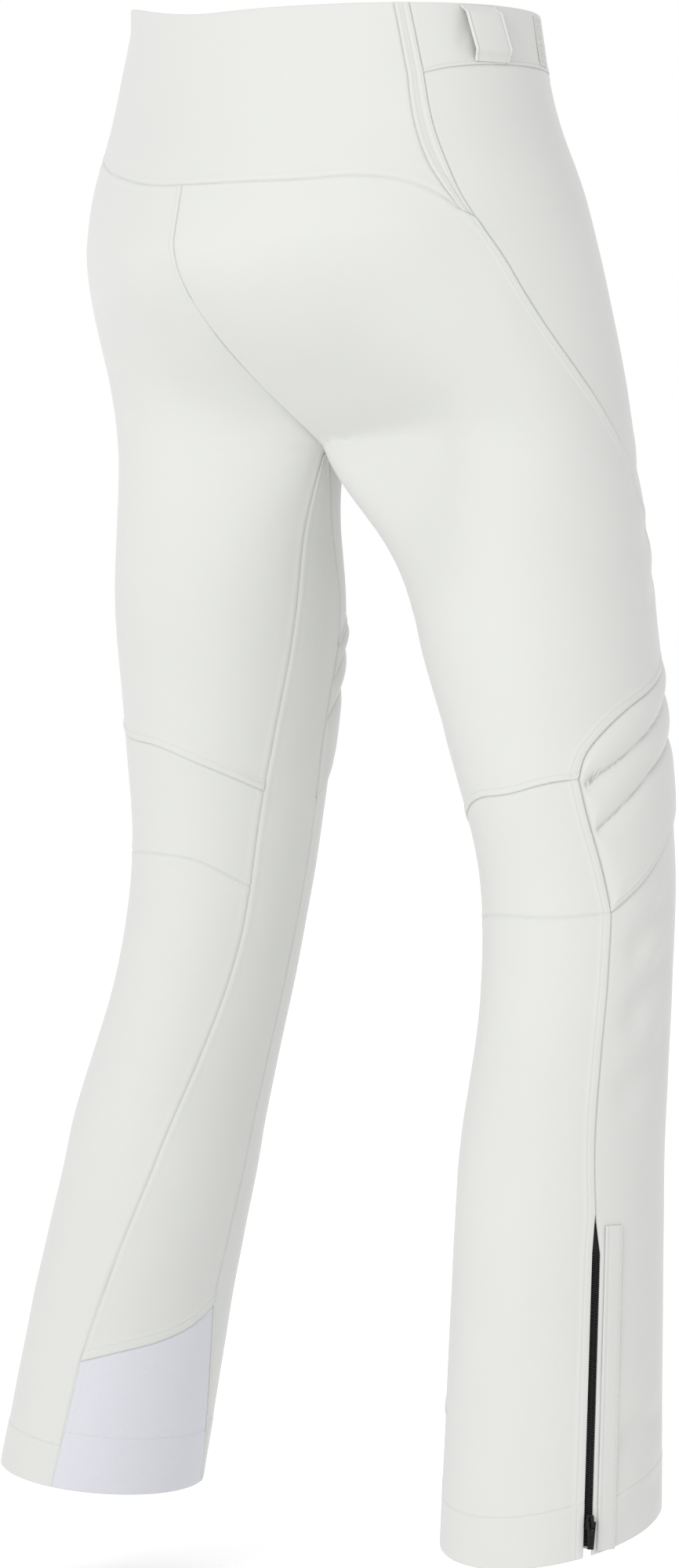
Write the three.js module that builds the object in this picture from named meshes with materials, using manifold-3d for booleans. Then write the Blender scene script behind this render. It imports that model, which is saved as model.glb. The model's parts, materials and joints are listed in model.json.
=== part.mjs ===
// Stretch softshell ski pants, shaped as worn in a relaxed stride.
// Millimetres, +Z up. The origin is the centre of the waist opening, the front faces -Y
// and the wearer's right leg is on -X. Every cloth piece lies on one body surface, which
// is addressed by side (-1 right, 1 left), u (0 centre front or inseam, 0.25 front,
// 0.5 outer side, 0.75 back, 1 centre back or inseam) and drop (distance below the waist
// on the base pattern).
import * as THREE from 'three';
import { mergeVertices } from 'three/addons/utils/BufferGeometryUtils.js';
import Module from 'manifold-3d';

const wasm = await Module();
wasm.setup();

// Overall sizes
const rise = 268;               // waist edge down to the crotch
const legDrop = 697;            // crotch down to the lowest leg station
const girth = 1;                // grades all widths and depths together

// Cloth and joins
const shellCloth = 1.6;         // three-layer softshell
const seamGap = 0.9;            // between neighbouring shell panels
const layerGap = 0.4;           // between a layer and the one over it
const innerGap = 2;             // between the shell and what lies loose inside it
const waistbandHeight = 38;
const liningShort = 2;          // the lining ends this far above the waistband's seam
const liningCloth = 1.1;
const liningFromU = 0.02;
const hangHalfU = 0.07;
const bandWidth = 10;           // twin-stitched band at the side of the yoke

// Leg zips
const legZipLength = 190;       // top stop down to the hem
const zipGap = 6;               // opening between the panel edges
const zipU = 0.5533;            // where the leg zip runs
const coilThickness = 1.3;
const tapeWidth = 22;
const tapeThickness = 0.8;
const sliderAboveHem = 21;
const zipMouth = 8;             // length over which the panel edges part
const placketWidth = 13;
const placketClear = 2.6;       // from the opening's edge, for the slider to pass
const placketCloth = 0.9;

// Sliders and their pulls, the same on every zip
const sliderWidth = 6.4;
const sliderLength = 9;
const sliderThickness = 2.2;
const sliderLift = 0.6;         // clear of the cloth it runs over
const bridgeWidth = 1.8;
const bridgeLength = 6.4;
const bridgeHeight = 3.4;
const pinHole = 2.2;
const pinCentre = 1.35;         // hinge pin over the slider body's top face
const pullWidth = 6;
const pullLength = 17;
const pullThickness = 1.1;
const pullEye = 4.2;

// Front closure and pockets
const flyDrop = 12;             // fly zip below the waistband
const flyLength = 108;
const pocketU = 0.2;
const pocketDrop = 37;          // pocket zip below the waistband
const pocketLength = 115;
const pocketZipWidth = 12;
const zipStripThickness = 1.1;
const bagReach = 0.08;
const bagBelow = 30;
const bagThickness = 1.4;
const tabCloth = 1.4;
const tabLift = 2.2;
const tabMargin = 5;            // tab edges inside the waistband's
const tabRootU = 0.09;
const tabReachU = 0.085;
const snapThickness = 1.2;
const snapRadius = 6;
const studRadius = 3.6;
const snapUs = [-0.03, -0.062];

// Knee and ankle
const kneeFoam = 3;
const foamMargin = 12;
const gaiterTop = 800;
const gaiterBottom = 900;
const gaiterClearance = 6;
const gaiterCloth = 1;
const elasticHeight = 10;
const elasticThickness = 2.4;
const elasticRise = 0.7;

// Belt loops
const loopLift = 5.4;
const loopCloth = 1.2;
const loopMargin = 1.5;
const loopWidthU = 0.07;
const loopLean = 0.018;         // the loop leans back towards its top
const loopU = 0.49;

// The pattern is drawn at one base size and graded to rise and legDrop.
const baseRise = 268;
const baseLegDrop = 697;
const crotchCurve = 125;        // height over which the seat divides into the legs
const archFade = 122;           // length over which the inner thighs open
const crotchBack = 27;          // the crotch point behind the waist's centre
const seatTurn = 0.09;          // the centre back seam's turn with the stride, in radians
const seatFade = 80;            // length over which that turn fades in above the crotch
const legSettle = 20;           // height over which the legs' shape fades in

const hips = {
  drop: [0, 62, 119, 196, 292, 424],
  halfWidth: [158, 172, 191, 199, 200, 198],
  front: [110, 116, 126, 131, 122, 118],
  back: [110, 122, 141, 160, 158, 136],
  centre: [24, 25, 23, 14, -8, -8],
};
const legs = {
  drop: [268, 369, 454, 542, 618, 734, 849, 964],
  out: [102, 115, 132, 146, 156, 169, 182, 195],
  halfWidth: [64, 77, 70, 61, 58, 62, 62.5, 63],
  depth: [64, 77, 71, 64, 63, 68, 71, 74],
  forward: { '-1': [64, 48, 51, 57, 47, 22, 6, -10], 1: [-38, -17, -4, 3, -4, -30, -50, -66] },
};
const straightStation = 5;      // below this leg station the leg is a straight tube
const kneeLift = { '-1': 0, 1: 27 };   // the trailing leg's knee sits higher
const hipLift = { waist: 16, yoke: 9 };   // and so does that side's hip

// Each hem is a tilted flat cut: level at the leg's centre and slopes along X and Y.
const hems = {
  '-1': { level: 944, slopeX: 0.05, slopeY: -0.20 },
  1: { level: 960, slopeX: 0.13, slopeY: 0.055 },
};

// Grid rows and columns along the seams
const bandRows = 6;
const waistbandRows = 2;
const flyRows = 9;
const frontThighRows = 6;
const princessRows = 11;
const padTopFrontColumns = 8;
const padTopOuterRows = 5;
const seatRows = 8;
const backThighRows = 8;
const kneeRows = 4;
const calfRows = 8;
const shinRows = 10;
const outerRows = 4;
const guardRows = 3;
const guardColumns = 5;
const yokeColumns = 9;
const gussetStart = 0.98;        // the inner panel's start, as a share of the first thigh row

const flyTop = waistbandHeight + flyDrop;
const flyBottom = flyTop + flyLength;
const pocketTop = waistbandHeight + pocketDrop;
const pocketBottom = pocketTop + pocketLength;

const clamp01 = (value) => Math.min(1, Math.max(0, value));
const ease = (value) => clamp01(value) ** 2 * (3 - 2 * clamp01(value));

// A smooth value against drop, straight from one station on.
function profile(drops, values, straightFrom = drops.length) {
  const last = drops.length - 1;
  const slope = (i) => (values[i + 1] - values[i]) / (drops[i + 1] - drops[i]);
  const tangent = (i) => {
    if (i === 0) return slope(0);
    if (i === last || i >= straightFrom) return slope(last - 1);
    return (slope(i - 1) + slope(i)) / 2;
  };
  return (drop) => {
    if (drop <= drops[0]) return values[0];
    if (drop >= drops[last]) return values[last] + slope(last - 1) * (drop - drops[last]);
    let i = 0;
    while (drops[i + 1] < drop) i += 1;
    const h = drops[i + 1] - drops[i];
    const t = (drop - drops[i]) / h;
    return values[i] * (1 + 2 * t) * (1 - t) ** 2 + tangent(i) * h * t * (1 - t) ** 2
      + values[i + 1] * t * t * (3 - 2 * t) + tangent(i + 1) * h * t * t * (t - 1);
  };
}

const hip = {};
for (const key of ['halfWidth', 'front', 'back', 'centre']) hip[key] = profile(hips.drop, hips[key]);
const leg = {};
for (const key of ['out', 'halfWidth', 'depth']) {
  leg[key] = profile(legs.drop, legs[key], straightStation);
}
leg.forward = {};
for (const side of [-1, 1]) {
  leg.forward[side] = profile(legs.drop, legs.forward[side], straightStation);
}

function level(drop) {
  if (drop <= baseRise) return -drop * rise / baseRise;
  return -rise - (drop - baseRise) * legDrop / baseLegDrop;
}

// The body surface. Past the centre lines it carries on over the other side above the
// crotch, and around the same leg below it.
function bodyPoint(side, u, drop) {
  if (drop < baseRise && (u < 0 || u > 1)) return bodyPoint(-side, u < 0 ? -u : 2 - u, drop);
  const turn = 2 * Math.PI * u;
  let across = Math.PI * (drop >= baseRise ? u - Math.floor(u) : u);
  across += side * seatTurn * ease((u - 0.6) / 0.4) * ease((baseRise - drop) / seatFade);
  const below = drop - baseRise;
  const settled = Math.max(below + legSettle, 0) ** 2 / (4 * legSettle);
  const legAt = baseRise + (below > legSettle ? below : settled);
  const out = leg.out(legAt);
  const halfWidth = leg.halfWidth(legAt);
  const forward = leg.forward[side](legAt);
  const inward = Math.max(0, Math.cos(turn)) ** 2 * (1 - ease(below / archFade));
  const innerGap = 14 * Math.sqrt(clamp01(below / 60));
  const legX = out - halfWidth * Math.cos(turn) + (innerGap - (out - halfWidth)) * inward;
  const legY = -forward - leg.depth(legAt) * Math.sin(turn) + (forward + crotchBack) * inward;
  const hipDepth = Math.cos(across) > 0 ? hip.front(drop) : hip.back(drop);
  const hipX = hip.halfWidth(drop) * Math.sin(across);
  const hipY = hip.centre(drop) - hipDepth * Math.cos(across);
  const climb = clamp01(-below / crotchCurve);
  const sharp = (1 - climb) ** 1.6;
  const gentle = 1 - ease((archFade - below) / (crotchCurve + 2 * archFade));
  const outer = Math.sin(across) ** 2;
  const w = sharp * (1 - outer) + gentle * outer;
  return new THREE.Vector3(
    side * girth * ((1 - w) * hipX + w * legX),
    girth * ((1 - w) * hipY + w * legY),
    level(drop),
  );
}

function bodyNormal(side, u, drop) {
  const alongU = bodyPoint(side, u + 1e-3, drop).sub(bodyPoint(side, u - 1e-3, drop));
  const alongDrop = bodyPoint(side, u, drop + 0.5).sub(bodyPoint(side, u, drop - 0.5));
  return alongU.cross(alongDrop).normalize().multiplyScalar(-side);
}

function liftedPoint(side, u, drop, lift) {
  return bodyPoint(side, u, drop).addScaledVector(bodyNormal(side, u, drop), lift);
}

// Millimetres along u for one unit of u
function aroundLength(side, u, drop) {
  return bodyPoint(side, u + 5e-3, drop).distanceTo(bodyPoint(side, u - 5e-3, drop)) / 0.01;
}

// Drop at which the hem's plane cuts the line of constant u
function hemDrop(side, u) {
  const hem = hems[side];
  const centreX = side * girth * leg.out(hem.level);
  const centreY = -girth * leg.forward[side](hem.level);
  let drop = hem.level;
  for (let i = 0; i < 6; i += 1) {
    const p = bodyPoint(side, u, drop);
    const target = level(hem.level) + hem.slopeX * (p.x - centreX) + hem.slopeY * (p.y - centreY);
    drop += p.z - target;
  }
  return drop;
}

// Seams are smooth curves through a few [u, drop] points.
function seam(points) {
  const scale = 480;
  const knots = [0];
  for (let i = 1; i < points.length; i += 1) {
    const du = (points[i][0] - points[i - 1][0]) * scale;
    knots.push(knots[i - 1] + Math.hypot(du, points[i][1] - points[i - 1][1]));
  }
  const coordinate = (axis) => profile(knots, points.map((point) => point[axis]));
  const [uAt, dropAt] = [coordinate(0), coordinate(1)];
  const total = knots[knots.length - 1];
  return (t) => [uAt(t * total), dropAt(t * total)];
}

// Seams end to end, each given with its number of grid rows, so that two panels that
// share a seam step along it at the same points.
function chain(...parts) {
  const total = parts.reduce((sum, [, rows]) => sum + rows, 0);
  return (t) => {
    let step = t * total;
    let i = 0;
    while (i < parts.length - 1 && step > parts[i][1]) {
      step -= parts[i][1];
      i += 1;
    }
    return parts[i][0](step / parts[i][1]);
  };
}
const partSeam = (curve, from, to) => (t) => curve(from + (to - from) * t);
const mirrorSeam = (curve) => (t) => [2 - curve(t)[0], curve(t)[1]];
const straightSeam = (from, to) => (t) => [
  from[0] + (to[0] - from[0]) * t, from[1] + (to[1] - from[1]) * t];
const shiftSeam = (curve, du) => (t) => [curve(t)[0] + du, curve(t)[1]];
const hemSeam = (side, from, to) => (t) => {
  const u = from + (to - from) * t;
  return [u, hemDrop(side, u)];
};

const bandPerU = aroundLength(-1, 0.65, 60);
const bandSpan = bandWidth / bandPerU;
const sideDrop = waistbandHeight + 6;
const bandFrontTop = seam([[0.668, 0], [0.658, sideDrop / 2], [0.65, sideDrop]]);
const bandFrontLow = seam([
  [0.65, sideDrop], [0.647, 79], [0.64, 101], [0.631, 119], [0.618, 133]]);
const bandFront = chain([bandFrontTop, waistbandRows], [bandFrontLow, bandRows - waistbandRows]);
const bandBack = chain([shiftSeam(bandFrontTop, bandSpan), waistbandRows], [seam([
  [0.65 + bandSpan, sideDrop], [0.648 + bandSpan, 79], [0.64 + bandSpan, 100], [0.65, 116],
  [0.636, 128]]), bandRows - waistbandRows]);
const yokeLow = seam([
  [0.636, 128], [0.66, 119], [0.7, 111], [0.75, 107.5], [0.85, 109], [1, 109]]);
const bandEnd = straightSeam([0.618, 133], [0.636, 128]);
const princess = seam([
  [0.618, 133], [0.592, 157], [0.574, 179], [0.552, 201], [0.512, 231], [0.452, 267],
  [0.39, 305], [0.353, 344], [0.34, 378], [0.345, 402]]);
const padTopFront = seam([[0.085, 425], [0.13, 408], [0.2, 397], [0.28, 394], [0.345, 402]]);
const padTopOuter = seam([
  [0.345, 402], [0.4, 415], [0.45, 425], [0.503, 436], [0.55, 451], [0.578, 464], [0.594, 479]]);
const padOuter = seam([[0.594, 479], [0.589, 504], [0.577, 532], [0.562, 563]]);
const padLow = seam([
  [0.07, 530], [0.13, 511], [0.2, 497], [0.28, 491], [0.375, 505], [0.445, 524],
  [0.51, 547], [0.562, 563]]);
const kneeBackTop = seam([
  [0.594, 479], [0.64, 482], [0.704, 489], [0.772, 493], [0.856, 506], [0.952, 523]]);
const kneeBackLow = seam([[0.562, 563], [0.662, 566], [0.758, 566], [0.848, 570], [0.947, 587]]);
const outerSeam = seam([[0.562, 563], [0.563, 604], [0.566, 652], [0.564, 700], [0.557, 745]]);
const crotchPoint = baseRise - 0.5;
const frontInnerThigh = seam([
  [0, crotchPoint], [0.03, 290], [0.062, 325], [0.083, 370], [0.085, 425]]);
const frontInnerKnee = seam([[0.085, 425], [0.073, 470], [0.068, 503], [0.07, 530]]);
const frontInnerShin = seam([[0.07, 530], [0.07, 600], [0.066, 700], [0.058, 780], [0.052, 843]]);
const backInnerThigh = seam([
  [1, crotchPoint], [0.999, 305], [0.992, 361], [0.98, 428], [0.965, 482], [0.952, 523]]);
const backInnerKnee = seam([[0.952, 523], [0.948, 552], [0.947, 587]]);
const backInnerCalf = seam([
  [0.947, 587], [0.947, 620], [0.939, 648], [0.922, 682], [0.903, 716], [0.879, 765],
  [0.861, 806], [0.847, 845], [0.836, 876]]);
const guardBackU = 0.828;
const guardFrontU = 0.118;
const guardTop = seam([[0.836, 876], [0.89, 870], [0.96, 863], [1.01, 855], [1.052, 843]]);

// The trailing knee's seams ride up with the knee, and that hip's seams with the hip.
function settle(side, u, drop) {
  if (drop < baseRise && (u < 0 || u > 1)) return settle(-side, u < 0 ? -u : 2 - u, drop);
  const knee = kneeLift[side] * ease((drop - 330) / 110) * ease((720 - drop) / 110);
  const sideways = side > 0 ? ease(u / 0.3) * ease((1 - u) / 0.3) : 0;
  const hipRise = (hipLift.waist + hipLift.yoke * ease(drop / 110)) * (1 - ease((drop - 120) / 170));
  return drop - knee - hipRise * sideways;
}

function coons(edges, s, t) {
  const [left, right, top, low] = [edges.left(t), edges.right(t), edges.top(s), edges.low(s)];
  const [a, b, c, d] = [edges.left(0), edges.right(0), edges.left(1), edges.right(1)];
  return [0, 1].map((k) => (1 - s) * left[k] + s * right[k] + (1 - t) * top[k] + t * low[k]
    - (1 - t) * ((1 - s) * a[k] + s * b[k]) - t * ((1 - s) * c[k] + s * d[k]));
}

// A closed sheet over the patch between four seams. lift is the outer face's height over
// the body surface, a number or a function of s and t; margin insets all four edges.
function sheet(side, edges, { across, down, lift = 0, thickness = shellCloth,
  margin = seamGap / 2, leftMargin = margin, around = false }) {
  const liftAt = typeof lift === 'function' ? lift : () => lift;
  const raw = (s, t) => {
    const [u, drop] = coons(edges, s, t);
    return [u, settle(side, u, drop)];
  };
  const span = (from, to) => {
    let length = 0;
    let previous = bodyPoint(side, ...raw(...from));
    for (let i = 1; i <= 12; i += 1) {
      const k = i / 12;
      const next = bodyPoint(side, ...raw(
        from[0] + (to[0] - from[0]) * k, from[1] + (to[1] - from[1]) * k));
      length += next.distanceTo(previous);
      previous = next;
    }
    return length;
  };
  const columns = around ? across : across + 1;
  const positions = [];
  const layer = (depth) => {
    for (let j = 0; j <= down; j += 1) {
      for (let i = 0; i < columns; i += 1) {
        const [s0, t0] = [i / across, j / down];
        const width = around ? 1 : span([0, t0], [1, t0]);
        const height = span([s0, 0], [s0, 1]);
        const s = around ? s0 : (leftMargin + s0 * (width - margin - leftMargin)) / width;
        const t = (margin + t0 * (height - 2 * margin)) / height;
        const [u, drop] = raw(s, t);
        const p = liftedPoint(side, u, drop, liftAt(s0, t0) - depth);
        positions.push(p.x, p.y, p.z);
      }
    }
  };
  layer(0);
  layer(thickness);
  const half = columns * (down + 1);
  const at = (i, j, inner) => inner * half + j * columns + (around ? i % columns : i);
  const index = [];
  const quad = (a, b, c, d) => index.push(a, b, c, a, c, d);
  for (let j = 0; j < down; j += 1) {
    for (let i = 0; i < across; i += 1) {
      quad(at(i, j, 0), at(i + 1, j, 0), at(i + 1, j + 1, 0), at(i, j + 1, 0));
      quad(at(i, j, 1), at(i, j + 1, 1), at(i + 1, j + 1, 1), at(i + 1, j, 1));
    }
  }
  for (let i = 0; i < across; i += 1) {
    quad(at(i, 0, 1), at(i + 1, 0, 1), at(i + 1, 0, 0), at(i, 0, 0));
    quad(at(i, down, 0), at(i + 1, down, 0), at(i + 1, down, 1), at(i, down, 1));
  }
  for (let j = 0; !around && j < down; j += 1) {
    quad(at(0, j, 0), at(0, j + 1, 0), at(0, j + 1, 1), at(0, j, 1));
    quad(at(across, j, 1), at(across, j + 1, 1), at(across, j + 1, 0), at(across, j, 0));
  }
  // On the left side the same order faces inwards.
  if (side > 0) {
    for (let i = 0; i < index.length; i += 3) {
      [index[i + 1], index[i + 2]] = [index[i + 2], index[i + 1]];
    }
  }
  const geometry = new THREE.BufferGeometry();
  geometry.setAttribute('position', new THREE.Float32BufferAttribute(positions, 3));
  geometry.setIndex(index);
  geometry.computeVertexNormals();
  return geometry;
}

function toManifold(geometry) {
  const plain = geometry.clone();
  plain.deleteAttribute('normal');
  plain.deleteAttribute('uv');
  const merged = mergeVertices(plain, 1e-4);
  return new wasm.Manifold(new wasm.Mesh({
    numProp: 3,
    vertProperties: new Float32Array(merged.attributes.position.array),
    triVerts: new Uint32Array(merged.index.array),
  }));
}

function fromManifold(solid) {
  const mesh = solid.getMesh();
  const geometry = new THREE.BufferGeometry();
  geometry.setAttribute('position', new THREE.Float32BufferAttribute(mesh.vertProperties, 3));
  geometry.setIndex(Array.from(mesh.triVerts));
  geometry.computeVertexNormals();
  return geometry;
}

const pants = new THREE.Group();
pants.name = 'ski_pants';

const softshell = { color: 0xe6e7e2, roughness: 0.72, metalness: 0 };
const guardCloth = { color: 0xdfe0e6, roughness: 0.55, metalness: 0 };
const blackZip = { color: 0x1b1b1a, roughness: 0.6, metalness: 0 };
const blackMetal = { color: 0x222220, roughness: 0.35, metalness: 0.8 };
const rib = { color: 0xd2d3cf, roughness: 0.9, metalness: 0 };
const lightLining = { color: 0xc9cac6, roughness: 0.8, metalness: 0 };
const foam = { color: 0xb9bab6, roughness: 0.95, metalness: 0 };

function add(name, geometry, look) {
  const mesh = new THREE.Mesh(geometry, new THREE.MeshStandardMaterial(look));
  mesh.name = name;
  pants.add(mesh);
  return mesh;
}

const sideName = { '-1': 'right', 1: 'left' };

// The straight line between two drops at one u: its ends, the directions up the garment,
// across it and out of the cloth, and how far the cloth bows out of the line where a
// slider of that width runs
function clothFrame(side, u, fromDrop, toDrop) {
  const onCloth = (at, drop) => bodyPoint(side, at, settle(side, at, drop));
  const top = onCloth(u, fromDrop);
  const low = onCloth(u, toDrop);
  const up = top.clone().sub(low).normalize();
  const middle = bodyNormal(side, u, settle(side, u, (fromDrop + toDrop) / 2));
  const across = up.clone().cross(middle).normalize();
  const out = across.clone().cross(up).normalize();
  const half = sliderWidth / 2 / aroundLength(side, u, fromDrop);
  let [outward, inward] = [0, 0];
  for (let i = 0; i <= 12; i += 1) {
    const drop = fromDrop + (toDrop - fromDrop) * i / 12;
    for (const at of [u - half, u, u + half]) {
      const height = onCloth(at, drop).sub(top).dot(out);
      outward = Math.max(outward, height);
      inward = Math.max(inward, -height);
    }
  }
  return { top, low, up, across, out, outward, inward };
}

function sliderGeometry() {
  const outline = new THREE.Shape();
  const [w, l] = [sliderWidth / 2, sliderLength / 2];
  outline.moveTo(-w * 0.62, -l);
  outline.lineTo(w * 0.62, -l);
  outline.lineTo(w, -l * 0.2);
  outline.lineTo(w, l * 0.8);
  outline.lineTo(w * 0.8, l);
  outline.lineTo(-w * 0.8, l);
  outline.lineTo(-w, l * 0.8);
  outline.lineTo(-w, -l * 0.2);
  outline.closePath();
  const body = new THREE.ExtrudeGeometry(outline, { depth: sliderThickness, bevelEnabled: false });
  const arch = new THREE.Shape();
  const foot = bridgeLength / 2;
  arch.moveTo(-foot, -0.4);
  arch.lineTo(foot, -0.4);
  arch.lineTo(foot, bridgeHeight * 0.6);
  arch.lineTo(foot * 0.6, bridgeHeight);
  arch.lineTo(-foot * 0.6, bridgeHeight);
  arch.lineTo(-foot, bridgeHeight * 0.6);
  arch.closePath();
  const hole = new THREE.Path();
  hole.absarc(0, pinCentre, pinHole / 2, 0, 2 * Math.PI, true);
  arch.holes.push(hole);
  const bridge = new THREE.ExtrudeGeometry(arch, {
    depth: bridgeWidth, bevelEnabled: false, curveSegments: 10 });
  bridge.translate(0, 0, -bridgeWidth / 2);
  bridge.applyMatrix4(new THREE.Matrix4().makeBasis(
    new THREE.Vector3(0, 1, 0), new THREE.Vector3(0, 0, 1), new THREE.Vector3(1, 0, 0)));
  bridge.translate(0, 0, sliderThickness);
  return fromManifold(toManifold(body).add(toManifold(bridge)));
}

// Pull: a plate with an eye whose top bar is the hinge pin, hanging down from the origin
function pullGeometry() {
  const outline = new THREE.Shape();
  const [w, bar] = [pullWidth / 2, pullThickness / 2];
  outline.moveTo(-w, bar);
  outline.lineTo(-w * 0.8, -pullLength * 0.5);
  outline.lineTo(-w * 0.8, bar - pullLength + 1.5);
  outline.lineTo(-w * 0.4, bar - pullLength);
  outline.lineTo(w * 0.4, bar - pullLength);
  outline.lineTo(w * 0.8, bar - pullLength + 1.5);
  outline.lineTo(w * 0.8, -pullLength * 0.5);
  outline.lineTo(w, bar);
  outline.closePath();
  const eye = new THREE.Path();
  const eyeHalf = bridgeWidth / 2 + 0.7;
  eye.moveTo(-eyeHalf, -bar);
  eye.lineTo(eyeHalf, -bar);
  eye.lineTo(eyeHalf, -bar - pullEye);
  eye.lineTo(-eyeHalf, -bar - pullEye);
  eye.closePath();
  outline.holes.push(eye);
  const plate = new THREE.ExtrudeGeometry(outline, { depth: pullThickness, bevelEnabled: false });
  plate.translate(0, 0, -pullThickness / 2);
  return plate;
}

// A slider with its pull, at a point of a zip; up is where the slider's wide end looks.
function addSlider(name, frame, point, lift, turned) {
  const basis = new THREE.Matrix4().makeBasis(frame.across, frame.up, frame.out);
  const turn = new THREE.Quaternion().setFromRotationMatrix(basis);
  const flip = new THREE.Quaternion().setFromAxisAngle(new THREE.Vector3(0, 0, 1), turned ? Math.PI : 0);
  const slider = add(`${name}_slider`, sliderGeometry(), blackMetal);
  slider.quaternion.copy(turn).multiply(flip);
  slider.position.copy(point).addScaledVector(frame.out, lift);
  const pull = add(`${name}_pull`, pullGeometry(), blackMetal);
  pull.quaternion.copy(turn);
  pull.position.copy(point).addScaledVector(frame.out, lift + sliderThickness + pinCentre);
}

function addShell(side) {
  const name = sideName[side];
  const waistbandLow = seam([
    [0, waistbandHeight], [0.25, waistbandHeight - 1], [0.49, waistbandHeight - 1],
    [0.6, waistbandHeight + 2], bandFrontLow(0)]);
  const hemAt = (u) => [u, hemDrop(side, u)];
  const zipHalf = zipGap / 2 / aroundLength(side, zipU, 850);
  const zipTop = hemDrop(side, zipU) - legZipLength;
  const outerEdge = (u, zipRows) => chain(
    [outerSeam, outerRows], [straightSeam(outerSeam(1), [u, zipTop + zipMouth]), 1],
    [straightSeam([u, zipTop + zipMouth], hemAt(u)), zipRows - 1]);

  add(`${name}_side_band`, sheet(side, {
    left: bandFront, right: bandBack,
    top: straightSeam(bandFront(0), bandBack(0)), low: bandEnd,
  }, { across: 2, down: bandRows }), softshell);

  add(`${name}_waistband`, sheet(side, {
    left: straightSeam([0, 0], [0, waistbandHeight]),
    right: bandFrontTop,
    top: straightSeam([0, 0], bandFront(0)), low: waistbandLow,
  }, { across: 16, down: 2, leftMargin: 1 }), softshell);

  add(`${name}_rear_panel`, sheet(side, {
    left: chain([princess, princessRows], [padTopOuter, padTopOuterRows]),
    right: chain([straightSeam([1, yokeLow(1)[1]], [1, crotchPoint]), seatRows],
      [backInnerThigh, backThighRows]),
    top: chain([bandEnd, 1], [yokeLow, yokeColumns]), low: kneeBackTop,
  }, { across: yokeColumns + 1, down: seatRows + backThighRows, leftMargin: 1.6 }), softshell);

  add(`${name}_front_panel`, sheet(side, {
    left: chain([straightSeam([0, waistbandHeight], [0, crotchPoint]), flyRows],
      [frontInnerThigh, frontThighRows]),
    right: chain([bandFrontLow, bandRows - waistbandRows], [princess, princessRows]),
    top: waistbandLow, low: padTopFront,
  }, { across: padTopFrontColumns, down: flyRows + frontThighRows }), softshell);

  // The inner panel starts just below the crotch, where the two inner seams part.
  const innerThigh = (curve, rows) => {
    const first = curve(1 / rows);
    const crotch = curve(0);
    const start = [0, 1].map((k) => crotch[k] + (first[k] - crotch[k]) * gussetStart);
    return chain([straightSeam(start, first), 1], [partSeam(curve, 1 / rows, 1), rows - 1]);
  };
  const innerBack = chain([innerThigh(backInnerThigh, backThighRows), backThighRows],
    [backInnerKnee, kneeRows], [backInnerCalf, calfRows]);
  const innerFront = chain([innerThigh(frontInnerThigh, frontThighRows), frontThighRows],
    [frontInnerKnee, kneeRows], [frontInnerShin, shinRows]);
  add(`${name}_inner_panel`, sheet(side, {
    left: shiftSeam(innerBack, -1), right: innerFront,
    top: straightSeam(shiftSeam(innerBack, -1)(0), innerFront(0)), low: shiftSeam(guardTop, -1),
  }, {
    across: guardColumns, down: backThighRows + kneeRows + calfRows, margin: seamGap,
  }), softshell);

  const pad = {
    left: frontInnerKnee, right: padOuter,
    top: chain([padTopFront, padTopFrontColumns], [padTopOuter, padTopOuterRows]), low: padLow,
  };
  const padColumns = padTopFrontColumns + padTopOuterRows;
  add(`${name}_knee_panel`, sheet(side, pad, { across: padColumns, down: kneeRows }), softshell);
  add(`${name}_knee_foam`, sheet(side, pad, {
    across: padColumns, down: kneeRows, lift: -shellCloth - innerGap, thickness: kneeFoam,
    margin: foamMargin }), foam);

  add(`${name}_knee_back_panel`, sheet(side, {
    left: padOuter, right: backInnerKnee, top: kneeBackTop, low: kneeBackLow,
  }, { across: yokeColumns + 1, down: kneeRows }), softshell);

  const guardBack = straightSeam(backInnerCalf(1), hemAt(guardBackU));
  const guardFront = straightSeam(frontInnerShin(1), hemAt(guardFrontU));
  add(`${name}_calf_panel`, sheet(side, {
    left: outerEdge(zipU + zipHalf, calfRows + guardRows - outerRows),
    right: chain([backInnerCalf, calfRows], [guardBack, guardRows]),
    top: kneeBackLow, low: hemSeam(side, zipU + zipHalf, guardBackU),
  }, { across: yokeColumns + 1, down: calfRows + guardRows }), softshell);

  add(`${name}_shin_panel`, sheet(side, {
    left: chain([frontInnerShin, shinRows], [guardFront, guardRows]),
    right: outerEdge(zipU - zipHalf, shinRows + guardRows - outerRows),
    top: padLow, low: hemSeam(side, guardFrontU, zipU - zipHalf),
  }, { across: padColumns, down: shinRows + guardRows }), softshell);

  add(`${name}_scuff_guard`, sheet(side, {
    left: guardBack, right: shiftSeam(guardFront, 1),
    top: guardTop, low: hemSeam(side, guardBackU, 1 + guardFrontU),
  }, { across: guardColumns, down: guardRows }), guardCloth);
}

// A patch between two values of u and two drops
function rectangle(uFrom, uTo, dropFrom, dropTo) {
  return {
    left: straightSeam([uFrom, dropFrom], [uFrom, dropTo]),
    right: straightSeam([uTo, dropFrom], [uTo, dropTo]),
    top: straightSeam([uFrom, dropFrom], [uTo, dropFrom]),
    low: straightSeam([uFrom, dropTo], [uTo, dropTo]),
  };
}

// A strip along a line of constant u, centred on it
function strip(side, u, from, to, width, options) {
  const half = width / 2 / aroundLength(side, u, (from + to) / 2);
  return sheet(side, rectangle(u - half, u + half, from, to), {
    margin: 0, across: 2, down: 6, ...options });
}

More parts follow.
